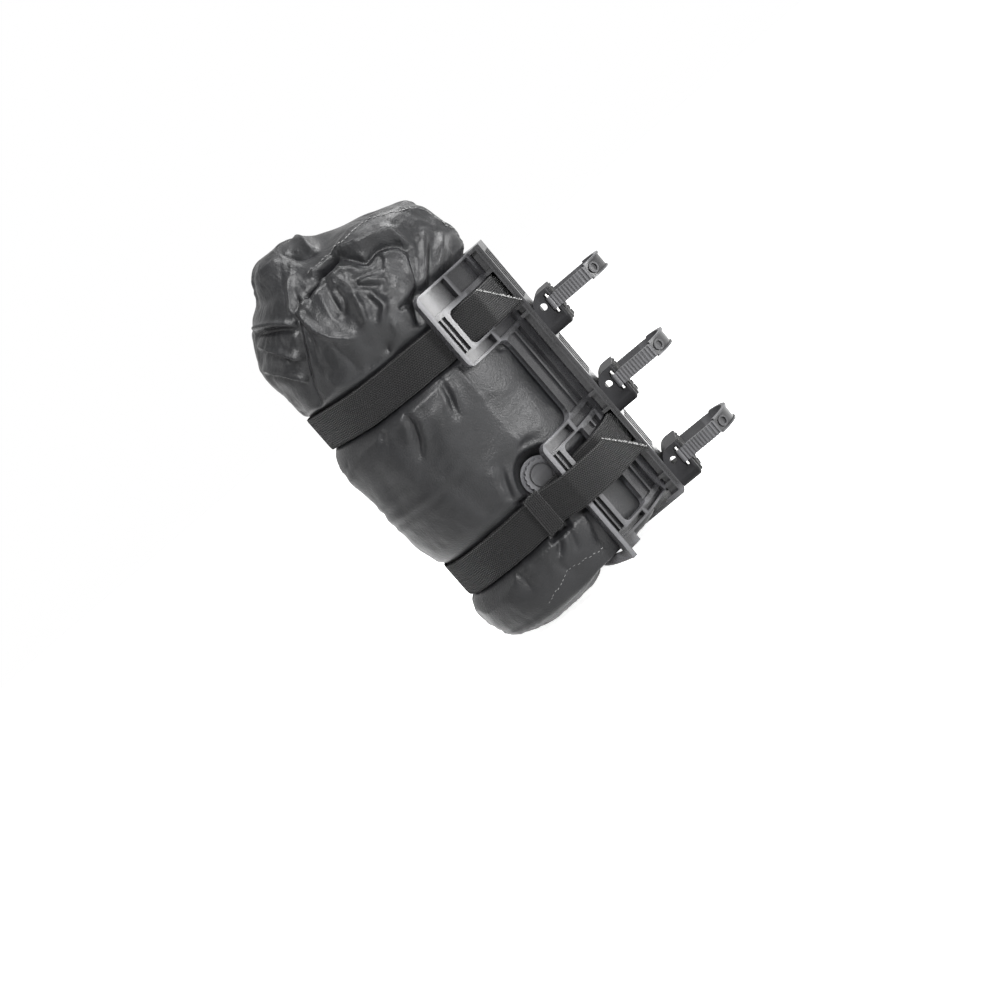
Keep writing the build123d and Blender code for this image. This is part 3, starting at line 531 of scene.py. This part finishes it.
RINGS = np.array([
    # z, front, back, half width, squareness
    (-91.2, -140.0, -136.0, 2.0, 2.0),
    (-90.8, -156.0, -122.0, 22.0, 2.0),
    (-89.4, -166.0, -107.0, 38.0, 2.0),
    (-86.0, -176.5, -98.0, 55.0, 2.15),
    (-81.5, -183.5, -90.0, 64.0, 2.2),
    (-78.7, -185.6, -50.5, 69.0, 2.35),
    (-76.8, -187.0, -52.5, 69.0, 2.25),
    (-70.0, -190.5, -50.0, 71.0, 2.2),
    (-60.0, -190.5, -46.0, 72.5, 2.1),
    (-46.0, -189.0, -44.7, 73.6, 2.05),
    (-20.0, -189.0, -44.7, 74.0, 2.0),
    (0.0, -191.8, -44.7, 75.0, 2.0),
    (20.0, -193.8, -44.8, 75.4, 2.0),
    (45.0, -193.6, -44.8, 75.6, 2.0),
    (66.0, -195.0, -44.8, 75.6, 2.0),
    (92.0, -193.5, -44.8, 75.2, 2.0),
    (110.0, -191.2, -44.8, 75.4, 2.05),
    (124.0, -191.6, -43.0, 76.0, 2.1),
    (137.0, -192.8, -39.0, 76.0, 2.15),
    (149.0, -192.6, -41.5, 74.0, 2.2),
    (161.0, -187.0, -45.5, 70.0, 2.25),
    (170.0, -182.0, -51.5, 65.0, 2.3),
    (176.0, -177.0, -58.5, 59.0, 2.3),
    (180.0, -171.5, -72.0, 53.0, 2.3),
    (183.0, -167.0, -92.0, 48.5, 2.3),
    (190.0, -162.5, -106.0, 45.0, 2.3),
    (198.0, -158.5, -114.0, 39.0, 2.2),
    (202.5, -154.5, -119.0, 31.0, 2.1),
    (204.5, -150.0, -126.0, 18.0, 2.0),
    (205.2, -142.0, -134.0, 3.0, 2.0),
])


def smooth_noise(points, scale, seed, octaves=3):
    """A sum of random sine waves, as cheap smooth noise on points in millimetres."""
    gen = np.random.default_rng(seed)
    total = np.zeros(len(points))
    amp = 1.0
    for _ in range(octaves):
        for _ in range(7):
            way = gen.normal(size=3)
            way /= np.linalg.norm(way)
            total += amp * np.sin(points @ way * (2 * math.pi / scale) * gen.uniform(0.7, 1.4)
                                  + gen.uniform(0, 6.28)) / 7 ** 0.5
        amp *= 0.55
        scale *= 0.53
    return total


def bag_mesh(cols=300, rows=330):
    """The bag's smooth packed form: superellipse rings from bottom to top.

    A ring's point at turn a is half width times cos a and depth times sin a, both to the
    power 2 / squareness, and the turns crowd together on the near side.
    """
    key = np.r_[0, np.cumsum(np.linalg.norm(np.diff(RINGS[:, [0, 1, 3]], axis=0), axis=1))]
    s = np.linspace(0, key[-1], rows)
    z, front, back, half, power = [np.interp(s, key, RINGS[:, k]) for k in range(5)]
    for _ in range(6):
        for values in (z, front, back, half):
            values[1:-1] = (values[:-2] + 2 * values[1:-1] + values[2:]) / 4
    turn = np.linspace(0, 2 * math.pi, cols, endpoint=False)
    a = turn - 0.35 * np.sin(turn)
    ca, sa = np.cos(a)[None], np.sin(a)[None]
    p = 2 / power[:, None]
    x = half[:, None] * np.sign(ca) * np.abs(ca) ** p
    y = (front + back)[:, None] / 2 + (back - front)[:, None] / 2 * np.sign(sa) * np.abs(sa) ** p
    return np.stack([x, y, np.repeat(z[:, None], cols, 1)], -1)


def crease(points, normals, centre, way, length, width, depth):
    """A straight soft fold: a valley across its line, with a raised lip beside it."""
    way = way / np.linalg.norm(way)
    d = points - centre
    along = d @ way
    reach = np.exp(-(along / length) ** 2)
    side = np.cross(way, normals[np.argmin((d ** 2).sum(1))])
    across = d @ side + 0.12 * width * np.sin(along / length * 4 + centre[0])
    near = np.exp(-((d ** 2).sum(1) / (1.6 * length ** 2 + 300)))
    valley = -np.exp(-(across / width) ** 2)
    lip = 0.75 * np.exp(-((across - 1.6 * width) / (1.3 * width)) ** 2)
    return depth * reach * (valley + lip) * near


def grid_normals(pts):
    """Unit normals of a grid of points: along the ring crossed with up the rows."""
    du = np.roll(pts, -1, 1) - np.roll(pts, 1, 1)
    dv = np.gradient(pts, axis=0)
    n = np.cross(du, dv)
    return n / np.maximum(1e-9, np.linalg.norm(n, axis=-1, keepdims=True))


def polar(v, centre_y):
    """Distance and angle of points round the upright axis through y = centre_y."""
    d = v[:, :2] - np.array([0.0, centre_y])
    return np.hypot(*d.T), np.degrees(np.arctan2(d[:, 0], d[:, 1]))


def pull_in(v, centre_y, limit, where):
    """Moves points straight toward the axis at centre_y until they lie within the limit."""
    c = np.array([0.0, centre_y])
    d = v[:, :2] - c
    r = np.maximum(1e-6, np.hypot(*d.T))
    k = np.where(where & (r > limit), limit / r, 1.0)
    v[:, :2] = c + d * k[:, None]


def valve_place(v):
    """Distance of points along the valve's axis, and their distance from that axis."""
    a = math.radians(VALVE_ANGLE)
    axis = np.array([math.sin(a), math.cos(a), 0.0])
    q = v - np.array([0.0, LOWER["centre"], VALVE_Z])
    along = q @ axis
    return axis, along, np.linalg.norm(q - along[:, None] * axis, axis=1)


def off_strap(v, strap):
    """How far points lie above or below a strap's middle line."""
    return np.abs(v[:, 2] - strap_level(strap, v[:, 1]))


def strap_limit(v, strap, puff=6.5):
    """How far from a strap's centre the bag may reach, by height: it puffs out past its edges."""
    out = np.maximum(0, off_strap(v, strap) - WEB_W / 2 - 0.3)
    return strap["r"] - 0.55 + puff * (1 - np.exp(-out / 4.5)) + out * 0.25


def keep_clear(v):
    """Holds the bag's surface inside straps, trough, hoop, valve seat, buckles and keeper."""
    v = v.copy()
    for strap in (UPPER, LOWER):
        pull_in(v, strap["centre"], strap_limit(v, strap), np.abs(v[:, 2] - strap["z"]) < 34)
    angle = np.abs(polar(v, TROUGH_Y)[1])
    inner = TROUGH_R - 0.5
    above = v[:, 2] - TROUGH_TOP
    pull_in(v, TROUGH_Y, inner, (angle < WING_ANGLE + 2.5) & (above < 0) & (v[:, 2] > -90))
    pull_in(v, TROUGH_Y, inner + np.clip(above * 1.1, 0, 40),
            (angle < WING_ANGLE + 6) & (above >= 0))
    hoop = HOOP_Y + HOOP_R - np.sqrt(np.maximum(0, HOOP_R ** 2 - v[:, 0] ** 2))
    low = (v[:, 1] > hoop) & (v[:, 2] < HOOP_TOP)
    v[low, 2] = HOOP_TOP
    axis, along, off = valve_place(v)
    cap = KNOB_FACE - 6.9 + np.maximum(0, off - 12.2) * 1.9
    over = (along > 20) & (off < 24) & (along > cap)
    v[over] -= (along - cap)[over, None] * axis
    for strap in (UPPER, LOWER):
        under = ((np.abs(v[:, 1] - strap["centre"]) < 16.5) & (off_strap(v, strap) < 16.8)
                 & (v[:, 0] < 0))
        v[under, 0] = np.maximum(v[under, 0], -(strap["r"] + 1.0))
    _, angle = polar(v, LOWER["centre"])
    pull_in(v, LOWER["centre"], LOWER["r"] - 2.2,
            (angle > 75.0) & (angle < 87.5) & (np.abs(v[:, 2] - LOWER["z"]) < 16.0))
    return v


CAMERA_AT = np.array([1230.0, 70.2, 145.5])
CAMERA_TURN = tuple(math.radians(v) for v in (80.4076, 40.5463, 93.0773))
CAMERA_LENS = 69.126


def picture_places(points):
    """Where points in millimetres lie in the 1000 by 1000 view, and how far off they are."""
    turn = np.array(Euler(CAMERA_TURN).to_matrix())
    q = (points - CAMERA_AT) @ turn
    f = CAMERA_LENS / 36.0 * 1000
    return np.stack([500 + f * q[:, 0] / -q[:, 2], 500 - f * q[:, 1] / -q[:, 2]], 1), -q[:, 2]


# Ridges and hollows of the crown's near side: height in millimetres, then the line in the view
CROWN_LINES = [
    # The sewn rim, the flap and the deep pocket between them
    (1.6, [(311, 270), (339, 244), (366, 221), (383, 216), (399, 211), (420, 210), (427, 212),
           (447, 226), (459, 236), (466, 251)]),
    (2.6, [(321, 278), (306, 299), (296, 313)]),
    (-15.0, [(331, 255), (318, 269), (314, 284), (306, 296)]),
    # The fold that curls round to a point, and the long fold over the middle
    (-4.2, [(324, 281), (330, 296), (339, 313), (344, 313), (343, 299), (335, 289)]),
    (2.2, [(330, 276), (340, 268), (352, 267)]),
    (4.6, [(339, 250), (363, 242), (381, 236), (390, 233), (406, 243)]),
    (-4.6, [(336, 253), (356, 258), (366, 260), (373, 251), (384, 245), (399, 244), (407, 247)]),
    (2.4, [(383, 255), (396, 251), (405, 257), (411, 272), (416, 283)]),
    (-3.0, [(381, 257), (381, 268), (366, 273), (354, 279), (357, 286), (377, 286)]),
    (1.4, [(360, 280), (369, 278), (384, 280)]),
    (-2.0, [(389, 278), (391, 287), (386, 294)]),
    (4.6, [(355, 296), (362, 308), (366, 322)]),
    (4.2, [(374, 296), (384, 304), (382, 320)]),
    (2.2, [(390, 318), (398, 334)]),
    (-3.6, [(408, 248), (414, 272), (418, 286), (417, 306), (419, 328)]),
    # Soft folds side by side behind the cage's upper corner
    (1.6, [(425, 234), (425, 279)]),
    (-1.6, [(418.5, 240), (420.5, 281)]),
    (-2.4, [(433, 243), (431.5, 279)]),
    (2.0, [(443, 236), (439, 263)]),
    (-2.0, [(454, 238), (456, 256)]),
    # The edge of the broad flat area, and the shaded side under it
    (4.0, [(296, 314), (313, 328), (333, 337), (353, 338)]),
    (-2.4, [(300, 323), (311, 341), (317, 364)]),
    (-1.6, [(333, 345), (346, 356), (356, 368), (367, 374)]),
    # The hollow beside the left lobe, and the lobe's own folds
    (-5.0, [(295, 300), (297, 326), (300, 346), (305, 371), (311, 389), (319, 405)]),
    (2.2, [(290, 273), (290, 309)]),
    (-1.6, [(282, 258), (281, 273), (284, 296), (285, 311)]),
    (-2.0, [(284, 257), (289, 276), (301, 262)]),
    (-3.2, [(281, 252), (301, 256), (313, 253)]),
    (2.6, [(295, 237), (312, 249)]),
    (4.6, [(253, 330), (273, 325), (294, 325)]),
    (-4.6, [(257, 334), (278, 329.5), (295, 329.5)]),
    (3.0, [(261, 347), (280, 353), (297, 360)]),
    (-3.4, [(263, 351), (281, 357.5), (298, 365)]),
    (2.6, [(266, 370), (284, 373), (304, 380)]),
    (-2.8, [(270, 374.5), (286, 378), (305, 385)]),
    # Short creases just above the upper strap
    (-3.2, [(386, 344), (388, 352), (389, 361)]),
    (-2.8, [(383, 359), (369, 367), (368, 378)]),
    (0.4, [(330, 380), (352, 392)]),
    (0.6, [(400, 330), (404, 352)]),
]

# Creases lower down: line in the view, width and depth in millimetres
CREASES = [
    # Under the upper strap
    ([(440, 379), (450, 396), (457, 417)], 1.7, 3.4),
    ([(403, 412), (412, 424), (417, 439), (421, 456)], 1.8, 3.2),
    ([(380, 430), (384, 442)], 2.0, 2.2),
    ([(348, 447), (351, 462), (350, 473)], 2.4, 2.4),
    # Round the valve and into the lower strap
    ([(502, 466), (506, 486), (512, 498), (520, 506)], 1.8, 2.8),
    ([(519, 449), (528, 441), (538, 438)], 2.0, 2.2),
    ([(476, 542), (469, 538)], 1.8, 2.0),
    ([(494, 346), (500, 350), (505, 346)], 2.0, 2.4),
    # The bottom, under the lower strap
    ([(554, 530), (561, 545), (558, 558)], 1.9, 3.2),
    ([(566, 524), (572, 538), (577, 549)], 1.7, 2.2),
    ([(557, 562), (570, 571)], 2.0, 1.8),
    ([(512, 569), (524, 578), (532, 590)], 2.4, 2.2),
    ([(590, 520), (597, 534), (604, 545)], 3.0, 1.6),
]

# Broad soft swells on the middle panel: line in the view, width and height in millimetres
SWELLS = [
    ([(430, 402), (446, 430), (452, 462)], 7.0, 1.5),
    ([(396, 430), (408, 466), (430, 500)], 8.0, 1.6),
    ([(470, 400), (482, 440), (486, 480)], 8.0, -1.0),
    ([(370, 450), (392, 486), (418, 522)], 7.0, -1.2),
    ([(574, 505), (590, 530), (596, 552)], 6.0, 1.6),
    ([(500, 592), (520, 606), (548, 600)], 7.0, 1.0),
]


def line_distance(points, line):
    """Distance from points to a run of straight stretches, and how far along they lie."""
    line = np.array(line, float)
    best = np.full(len(points), 1e9)
    where = np.zeros(len(points))
    total = np.r_[0, np.cumsum(np.linalg.norm(np.diff(line, axis=0), axis=1))]
    for k in range(len(line) - 1):
        ab = line[k + 1] - line[k]
        t = np.clip((points - line[k]) @ ab / max(1e-9, ab @ ab), 0, 1)
        d = np.linalg.norm(points - line[k] - t[:, None] * ab, axis=1)
        where = np.where(d < best, (total[k] + t * (total[k + 1] - total[k])) / total[-1], where)
        best = np.minimum(d, best)
    return best, where


def crown_relief(seen, level_off=20.0, fall=1.4, gain=1.7):
    """Height that runs straight from ridge to hollow, so that sharp flat areas meet there.

    It is the mean of the lines' heights, each weighted by its distance in the view to the
    power -fall, with a level surface level_off pixels away as one more line.
    """
    total = np.zeros(len(seen))
    weight = np.full(len(seen), 1 / level_off ** fall)
    for height, line in CROWN_LINES:
        d, where = line_distance(seen, line)
        near = 1 / (d + 0.5) ** fall
        fade = 0.4 + 0.6 * np.sin(np.pi * np.clip(where, 0.14, 0.86)) ** 0.5
        total += gain * near * height * fade
        weight += near
    return total / weight


def polyline_shape(points, line, width, depth):
    """A sharp valley along a line of points, with a low soft lip on each side."""
    best, where = line_distance(points, line)
    taper = np.sin(np.pi * np.clip(where * 0.88 + 0.06, 0, 1)) ** 0.8
    valley = -np.exp(-(best / width) ** 1.25)
    lips = 0.32 * np.exp(-((best - 2.6 * width) / (2.0 * width)) ** 2)
    return depth * taper * (valley + lips)


def swell_shape(points, line, width, height):
    """A broad rounded rise along a line of points, highest at its middle."""
    best, where = line_distance(points, line)
    return height * np.exp(-(best / width) ** 2) * np.sin(np.pi * np.clip(where, 0.1, 0.9))


def facets(points, scale, height, tilt, soft, seed, stretch=(1, 1, 0.6)):
    """Crumpled fabric: small flat areas at odd tilts that meet in soft creases."""
    gen = np.random.default_rng(seed)
    p = points * np.array(stretch)
    low, high = p.min(0), p.max(0)
    seeds = p[gen.integers(0, len(p), int(np.prod((high - low) / scale) ** (2 / 3) * 1.5))]
    h = gen.normal(0, height, len(seeds))
    slope = gen.normal(0, tilt, (len(seeds), 3))
    out = np.empty(len(p))
    for start in range(0, len(p), 8000):
        q = p[start:start + 8000]
        d = np.sqrt(((q[:, None] - seeds[None]) ** 2).sum(2))
        w = np.exp(-(d - d.min(1, keepdims=True)) / soft)
        w /= w.sum(1, keepdims=True)
        level = h[None] + ((q[:, None] - seeds[None]) * slope[None]).sum(2)
        out[start:start + 8000] = (w * level).sum(1)
    return out


def facing(points, normals):
    """How squarely the surface faces the camera, from -1 to 1."""
    way = CAMERA_AT - points
    way /= np.linalg.norm(way, axis=1)[:, None]
    return (way * normals).sum(1)


def nearest_spots(flat, seen, towards, line):
    """The surface points that a line in the view runs over."""
    open_side = np.where(towards > 0.05)[0]
    depth = np.linalg.norm(flat[open_side] - CAMERA_AT, axis=1)
    spots = []
    for spot in line:
        off = np.linalg.norm(seen[open_side] - np.array(spot), axis=1) + 0.15 * depth
        spots.append(flat[open_side[int(np.argmin(off))]])
    return np.array(spots)


def fold_push(pts):
    """How far each point of the bag moves out or in for its folds."""
    rows, cols, _ = pts.shape
    flat = pts.reshape(-1, 3)
    normals = outward(pts)
    z = flat[:, 2]
    # 1 on the crown above the upper strap, and 1 where the view doesn't see the bag
    top = smooth_step(z, 106, 128)
    towards = facing(flat, normals)
    hidden = 1 - smooth_step(towards, 0.0, 0.3)
    calm = 0.3 + 0.7 * hidden
    push = 0.5 * smooth_noise(flat, 90, 11, 2)
    push += facets(flat, 30, 1.3, 0.11, 1.8, 3) * (0.12 + 0.9 * top) * (0.12 + 0.88 * hidden)
    push += facets(flat, 15, 0.4, 0.08, 1.1, 4) * (0.10 + 0.5 * top) * calm
    push += facets(flat, 46, 0.6, 0.03, 3.5, 8, (1, 1, 0.5)) * (1 - 0.7 * top)
    seen, _ = picture_places(flat)
    push += crown_relief(seen) * smooth_step(towards, 0.02, 0.25) * smooth_step(z, 104, 112)
    gen = np.random.default_rng(5)
    # Folds on the hidden sides: turn, height, slant, length, width and depth of each
    places = []
    for _ in range(34):
        places.append((gen.uniform(0.45, 1.55) * math.pi, gen.uniform(120, 184),
                       gen.normal(0, 0.5), gen.uniform(16, 36), gen.uniform(2.2, 4.0),
                       gen.uniform(1.6, 4.0)))
    for zc, count in ((112, 12), (72, 14), (-8, 12), (-50, 12)):
        for _ in range(count):
            places.append((gen.uniform(0.45, 1.55) * math.pi, zc + gen.normal(0, 3),
                           gen.normal(0, 0.35), gen.uniform(7, 18), gen.uniform(1.6, 2.8),
                           gen.uniform(0.5, 2.2)))
    for _ in range(10):
        places.append((gen.uniform(0.45, 1.55) * math.pi, gen.uniform(0, 66),
                       gen.uniform(-1.0, 1.0), gen.uniform(18, 40), gen.uniform(3.0, 5.5),
                       gen.uniform(0.5, 1.3)))
    for a, zc, slant, length, width, deep in places:
        row = int(np.argmin(np.abs(pts[:, 0, 2] - zc)))
        col = int(a / (2 * math.pi) * cols)
        centre = pts[row, col]
        around = pts[row, (col + 1) % cols] - pts[row, col - 1]
        around = around / np.linalg.norm(around)
        way = np.array([0, 0, 1.0]) * math.cos(slant) + around * math.sin(slant)
        near = np.abs(flat - centre).max(1) < 2.2 * length + 12
        push[near] += (crease(flat[near], normals[near], centre, way, length, width, deep)
                       * hidden[near])
    push = np.where(push > 0, push + hidden * (1.3 * np.tanh(push / 1.3) - push), push)
    for lines, shape in ((CREASES, polyline_shape), (SWELLS, swell_shape)):
        for line, width, size in lines:
            spots = nearest_spots(flat, seen, towards, line)
            near = np.abs(flat - spots.mean(0)).max(1) < np.ptp(spots, axis=0).max() + 25
            push[near] += shape(flat[near], spots, width, size)
    return push


def outward(pts):
    """Unit normals of a grid of points, turned to the outside."""
    flat = pts.reshape(-1, 3)
    normals = grid_normals(pts).reshape(-1, 3)
    if ((flat - flat.mean(0)) * normals).sum() < 0:
        normals = -normals
    return normals


def even_out(grid, times):
    """Averages a grid of moves with their neighbours, again and again."""
    for _ in range(times):
        grid = (np.roll(grid, 1, 1) + 2 * grid + np.roll(grid, -1, 1)) / 4
        grid[1:-1] = (grid[:-2] + 2 * grid[1:-1] + grid[2:]) / 4
    return grid


def held_points(verts):
    """The points that straps, spine and valve hold still while the fabric buckles."""
    held = np.zeros(len(verts), bool)
    for strap in (UPPER, LOWER):
        held |= off_strap(verts, strap) < WEB_W / 2 + 1.0
    held |= (np.abs(polar(verts, TROUGH_Y)[1]) < 34) & (verts[:, 2] < 118)
    _, along, off = valve_place(verts)
    return held | ((off < 15) & (along > 20))


def crumple(verts, faces, frames=9):
    """Lets the fabric buckle: cloth that is a little too large, held under the straps."""
    mesh = bpy.data.meshes.new("cloth")
    mesh.from_pydata((verts * MM).tolist(), [], faces)
    cloth = bpy.data.objects.new("cloth", mesh)
    bpy.context.scene.collection.objects.link(cloth)
    group = cloth.vertex_groups.new(name="held")
    group.add(np.where(held_points(verts))[0].tolist(), 1.0, "REPLACE")
    mod = cloth.modifiers.new("cloth", "CLOTH")
    st = mod.settings
    st.quality = 4
    st.mass = 0.25
    st.tension_stiffness = 30
    st.compression_stiffness = 30
    st.shear_stiffness = 8
    st.bending_stiffness = 0.4
    st.shrink_min = -0.075
    st.use_pressure = True
    st.uniform_pressure_force = 1.2
    st.effector_weights.gravity = 0
    st.vertex_group_mass = "held"
    st.pin_stiffness = 1.0
    st.air_damping = 2.0
    mod.collision_settings.use_collision = False
    mod.collision_settings.use_self_collision = False
    mod.point_cache.frame_start = 1
    mod.point_cache.frame_end = frames
    scene = bpy.context.scene
    for f in range(1, frames + 1):
        scene.frame_set(f)
    graph = bpy.context.evaluated_depsgraph_get()
    done = cloth.evaluated_get(graph).to_mesh()
    out = np.empty(len(verts) * 3)
    done.vertices.foreach_get("co", out)
    out = out.reshape(-1, 3) / MM
    scene.frame_set(1)
    bpy.data.objects.remove(cloth, do_unlink=True)
    return out - verts


def small_moves(move, rows, cols, cap=1.8):
    """Keeps the wrinkles of the cloth's moves, and drops the swelling that carries them."""
    grid = move[:rows * cols].reshape(rows, cols, 3)
    fine = (grid - even_out(grid.copy(), 60)).reshape(-1, 3)
    far = np.linalg.norm(fine, axis=1)
    return fine * (np.tanh(far / cap) * cap / np.maximum(far, 1e-9))[:, None]


def closed_faces(rows, cols):
    """Quads round the grid, and a fan of triangles at each end."""
    k = np.arange(cols)
    after = (k + 1) % cols
    low, high, last = np.full(cols, rows * cols), np.full(cols, rows * cols + 1), (rows - 1) * cols
    fans = np.stack([low, after, k, high, last + k, last + after], 1).reshape(-1, 3)
    return grid_faces(rows, cols, wrap_cols=True).tolist() + fans.tolist()


def with_ends(verts, rows, cols):
    """The grid's points and the middle of its first and last ring."""
    return np.vstack([verts, verts[:cols].mean(0), verts[(rows - 1) * cols:rows * cols].mean(0)])


def bag():
    """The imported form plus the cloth's small moves plus the folds along its normals."""
    pts = bag_mesh()
    rows, cols, _ = pts.shape
    faces = closed_faces(rows, cols)
    verts = keep_clear(pts.reshape(-1, 3))
    push = fold_push(pts)
    moves = small_moves(crumple(with_ends(verts, rows, cols), faces), rows, cols)
    seen_side = smooth_step(facing(verts, outward(pts)), 0.0, 0.3)
    share = 1 - seen_side * (0.72 - 0.2 * smooth_step(verts[:, 2], 106, 128))
    verts = verts + moves * share[:, None]
    verts = verts + outward(pts) * push[:, None]
    verts = keep_clear(even_out(verts.reshape(rows, cols, 3), 1).reshape(-1, 3))
    made = new_object("dry_bag_shell", with_ends(verts, rows, cols), faces)
    made.data.materials.append(FABRIC)
    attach(made, "cage")
    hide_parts("dry_bag")
    return verts, outward(verts.reshape(rows, cols, 3))


BAG, BAG_NORMALS = bag()

# Sewn seams on the near side, as lines in the view
SEAMS = {
    "rim": [(309, 273), (325, 257), (341, 242), (368, 220), (384, 215), (400, 210), (419, 209),
            (428, 212), (447, 225), (459, 236), (465, 250)],
    "base_back": [(602, 548), (584, 560), (568, 571), (556, 590), (547, 606)],
    "base_front": [(481, 591), (485, 606), (490, 617), (500, 627)],
}


def stitches(name, line, length=1.9, gap=0.9, thick=0.22):
    """Raised threads along a seam: a six-sided tube that dips into the fabric at both ends."""
    seen, _ = picture_places(BAG)
    path, _ = resample(nearest_spots(BAG, seen, facing(BAG, BAG_NORMALS), line), length + gap)
    spots = [int(np.argmin(((BAG - point) ** 2).sum(1))) for point in path[:-1]]
    base, up = BAG[spots], BAG_NORMALS[spots]
    way = np.diff(path, axis=0)
    way -= up * (way * up).sum(1)[:, None]
    way /= np.maximum(1e-6, np.linalg.norm(way, axis=1))[:, None]
    side = np.cross(up, way) * thick
    t, lift, size = np.array([(-1.0, -0.15, 0.3), (-0.6, 0.25, 1.0), (0.6, 0.25, 1.0),
                              (1.0, -0.15, 0.3)]).T
    turn = np.radians(np.arange(0, 360, 60))
    sideways = np.outer(size, np.cos(turn))
    upward = lift[:, None] + 0.6 * thick * np.outer(size, np.sin(turn))
    verts = (base[:, None, None] + (way * length / 2)[:, None, None] * t[:, None, None]
             + side[:, None, None] * sideways[..., None] + up[:, None, None] * upward[..., None])
    tube = grid_faces(4, 6, wrap_cols=True).tolist()
    tube += [tuple(range(6))[::-1], tuple(range(18, 24))]
    faces = [tuple(24 * k + corner for corner in face) for k in range(len(base)) for face in tube]
    made = new_object(name, verts.reshape(-1, 3), faces)
    made.data.materials.append(THREAD_AND_HEM_HIGHLIGHT)
    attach(made, "cage")


# The rim's stitches are long, thick and close, so their pale thread reads as a continuous painted
# highlight along the hem.
stitches("stitches_rim_and_hem_highlight", SEAMS["rim"], 2.4, 0.5, 0.42)
stitches("stitches_base_back", SEAMS["base_back"])
stitches("stitches_base_front", SEAMS["base_front"])

# Floor, light and camera

def white_rays(tree):
    """1 for the rays that find a white background: camera, glossy and transmission rays."""
    rays = tree.nodes.new("ShaderNodeLightPath").outputs
    seen = math_node(tree, "MAXIMUM", rays["Is Camera Ray"], rays["Is Glossy Ray"])
    return math_node(tree, "MAXIMUM", seen, rays["Is Transmission Ray"])


def pale_floor(size=6000, z=-93.0):
    """A plain pale plane, white far off, and a little less so close by, where a shadow shows."""
    floor = new_object("floor", [(-size, -size, z), (size, -size, z), (size, size, z),
                                 (-size, size, z)], [(0, 1, 2, 3)])
    mat = bpy.data.materials.new("pale_floor")
    mat.use_nodes = True
    tree = mat.node_tree
    bsdf = tree.nodes["Principled BSDF"]
    bsdf.inputs["Base Color"].default_value = (0.7, 0.7, 0.7, 1)
    bsdf.inputs["Roughness"].default_value = 0.9
    bsdf.inputs["Emission Color"].default_value = (1, 1, 1, 1)
    place = tree.nodes.new("ShaderNodeTexCoord")
    distance = tree.nodes.new("ShaderNodeVectorMath")
    distance.operation = "LENGTH"
    tree.links.new(place.outputs["Object"], distance.inputs[0])
    glow = tree.nodes.new("ShaderNodeMapRange")
    glow.interpolation_type = "SMOOTHSTEP"
    for title, value in (("From Min", 0.2), ("From Max", 1.6), ("To Min", 0.88),
                         ("To Max", 0.985)):
        glow.inputs[title].default_value = value
    tree.links.new(distance.outputs["Value"], glow.inputs["Value"])
    tree.links.new(math_node(tree, "MULTIPLY", white_rays(tree), glow.outputs["Result"]),
                   bsdf.inputs["Emission Strength"])
    floor.data.materials.append(mat)


def studio_world(ambient=0.09):
    """White where a ray looks for the background, and a faint even light elsewhere."""
    world = bpy.data.worlds.new("studio")
    bpy.context.scene.world = world
    world.use_nodes = True
    tree = world.node_tree
    mixed = tree.nodes.new("ShaderNodeMixShader")
    tree.links.new(white_rays(tree), mixed.inputs[0])
    faint, backdrop = tree.nodes["Background"], tree.nodes.new("ShaderNodeBackground")
    for slot, node, strength in ((1, faint, ambient), (2, backdrop, 1.0)):
        node.inputs["Color"].default_value = (1, 1, 1, 1)
        node.inputs["Strength"].default_value = strength
        tree.links.new(node.outputs[0], mixed.inputs[slot])
    tree.links.new(mixed.outputs[0], tree.nodes["World Output"].inputs["Surface"])


def lamp(name, place, size, power, target=(0, -0.1, 0.05)):
    """A rectangular lamp in metres and watts, turned to the object's middle."""
    data = bpy.data.lights.new(name, "AREA")
    data.shape = "RECTANGLE"
    data.size, data.size_y = size
    data.energy = power
    made = bpy.data.objects.new(name, data)
    bpy.context.scene.collection.objects.link(made)
    made.location = place
    made.rotation_euler = (Vector(target) - Vector(place)).to_track_quat("-Z", "Y").to_euler()


pale_floor()
studio_world()
lamp("key", (1.5, 0.15, 0.85), (0.45, 0.4), 80)
lamp("back_strip", (0.85, 1.45, 0.15), (0.3, 1.0), 88)
lamp("top", (0.15, 0.5, 1.6), (0.8, 0.5), 52)
lamp("side", (0.3, -1.7, 0.9), (0.35, 1.1), 10)
lamp("rim", (-1.0, 1.0, 1.3), (0.7, 0.7), 34)

camera = bpy.data.cameras.new("camera")
view = bpy.data.objects.new("camera", camera)
bpy.context.scene.collection.objects.link(view)
view.location = tuple(CAMERA_AT * MM)
view.rotation_euler = CAMERA_TURN
camera.sensor_width = 36.0
camera.lens = CAMERA_LENS
camera.clip_start = 0.05
bpy.context.scene.camera = view
bpy.context.scene.view_settings.view_transform = "Standard"
bpy.context.scene.view_settings.look = "None"
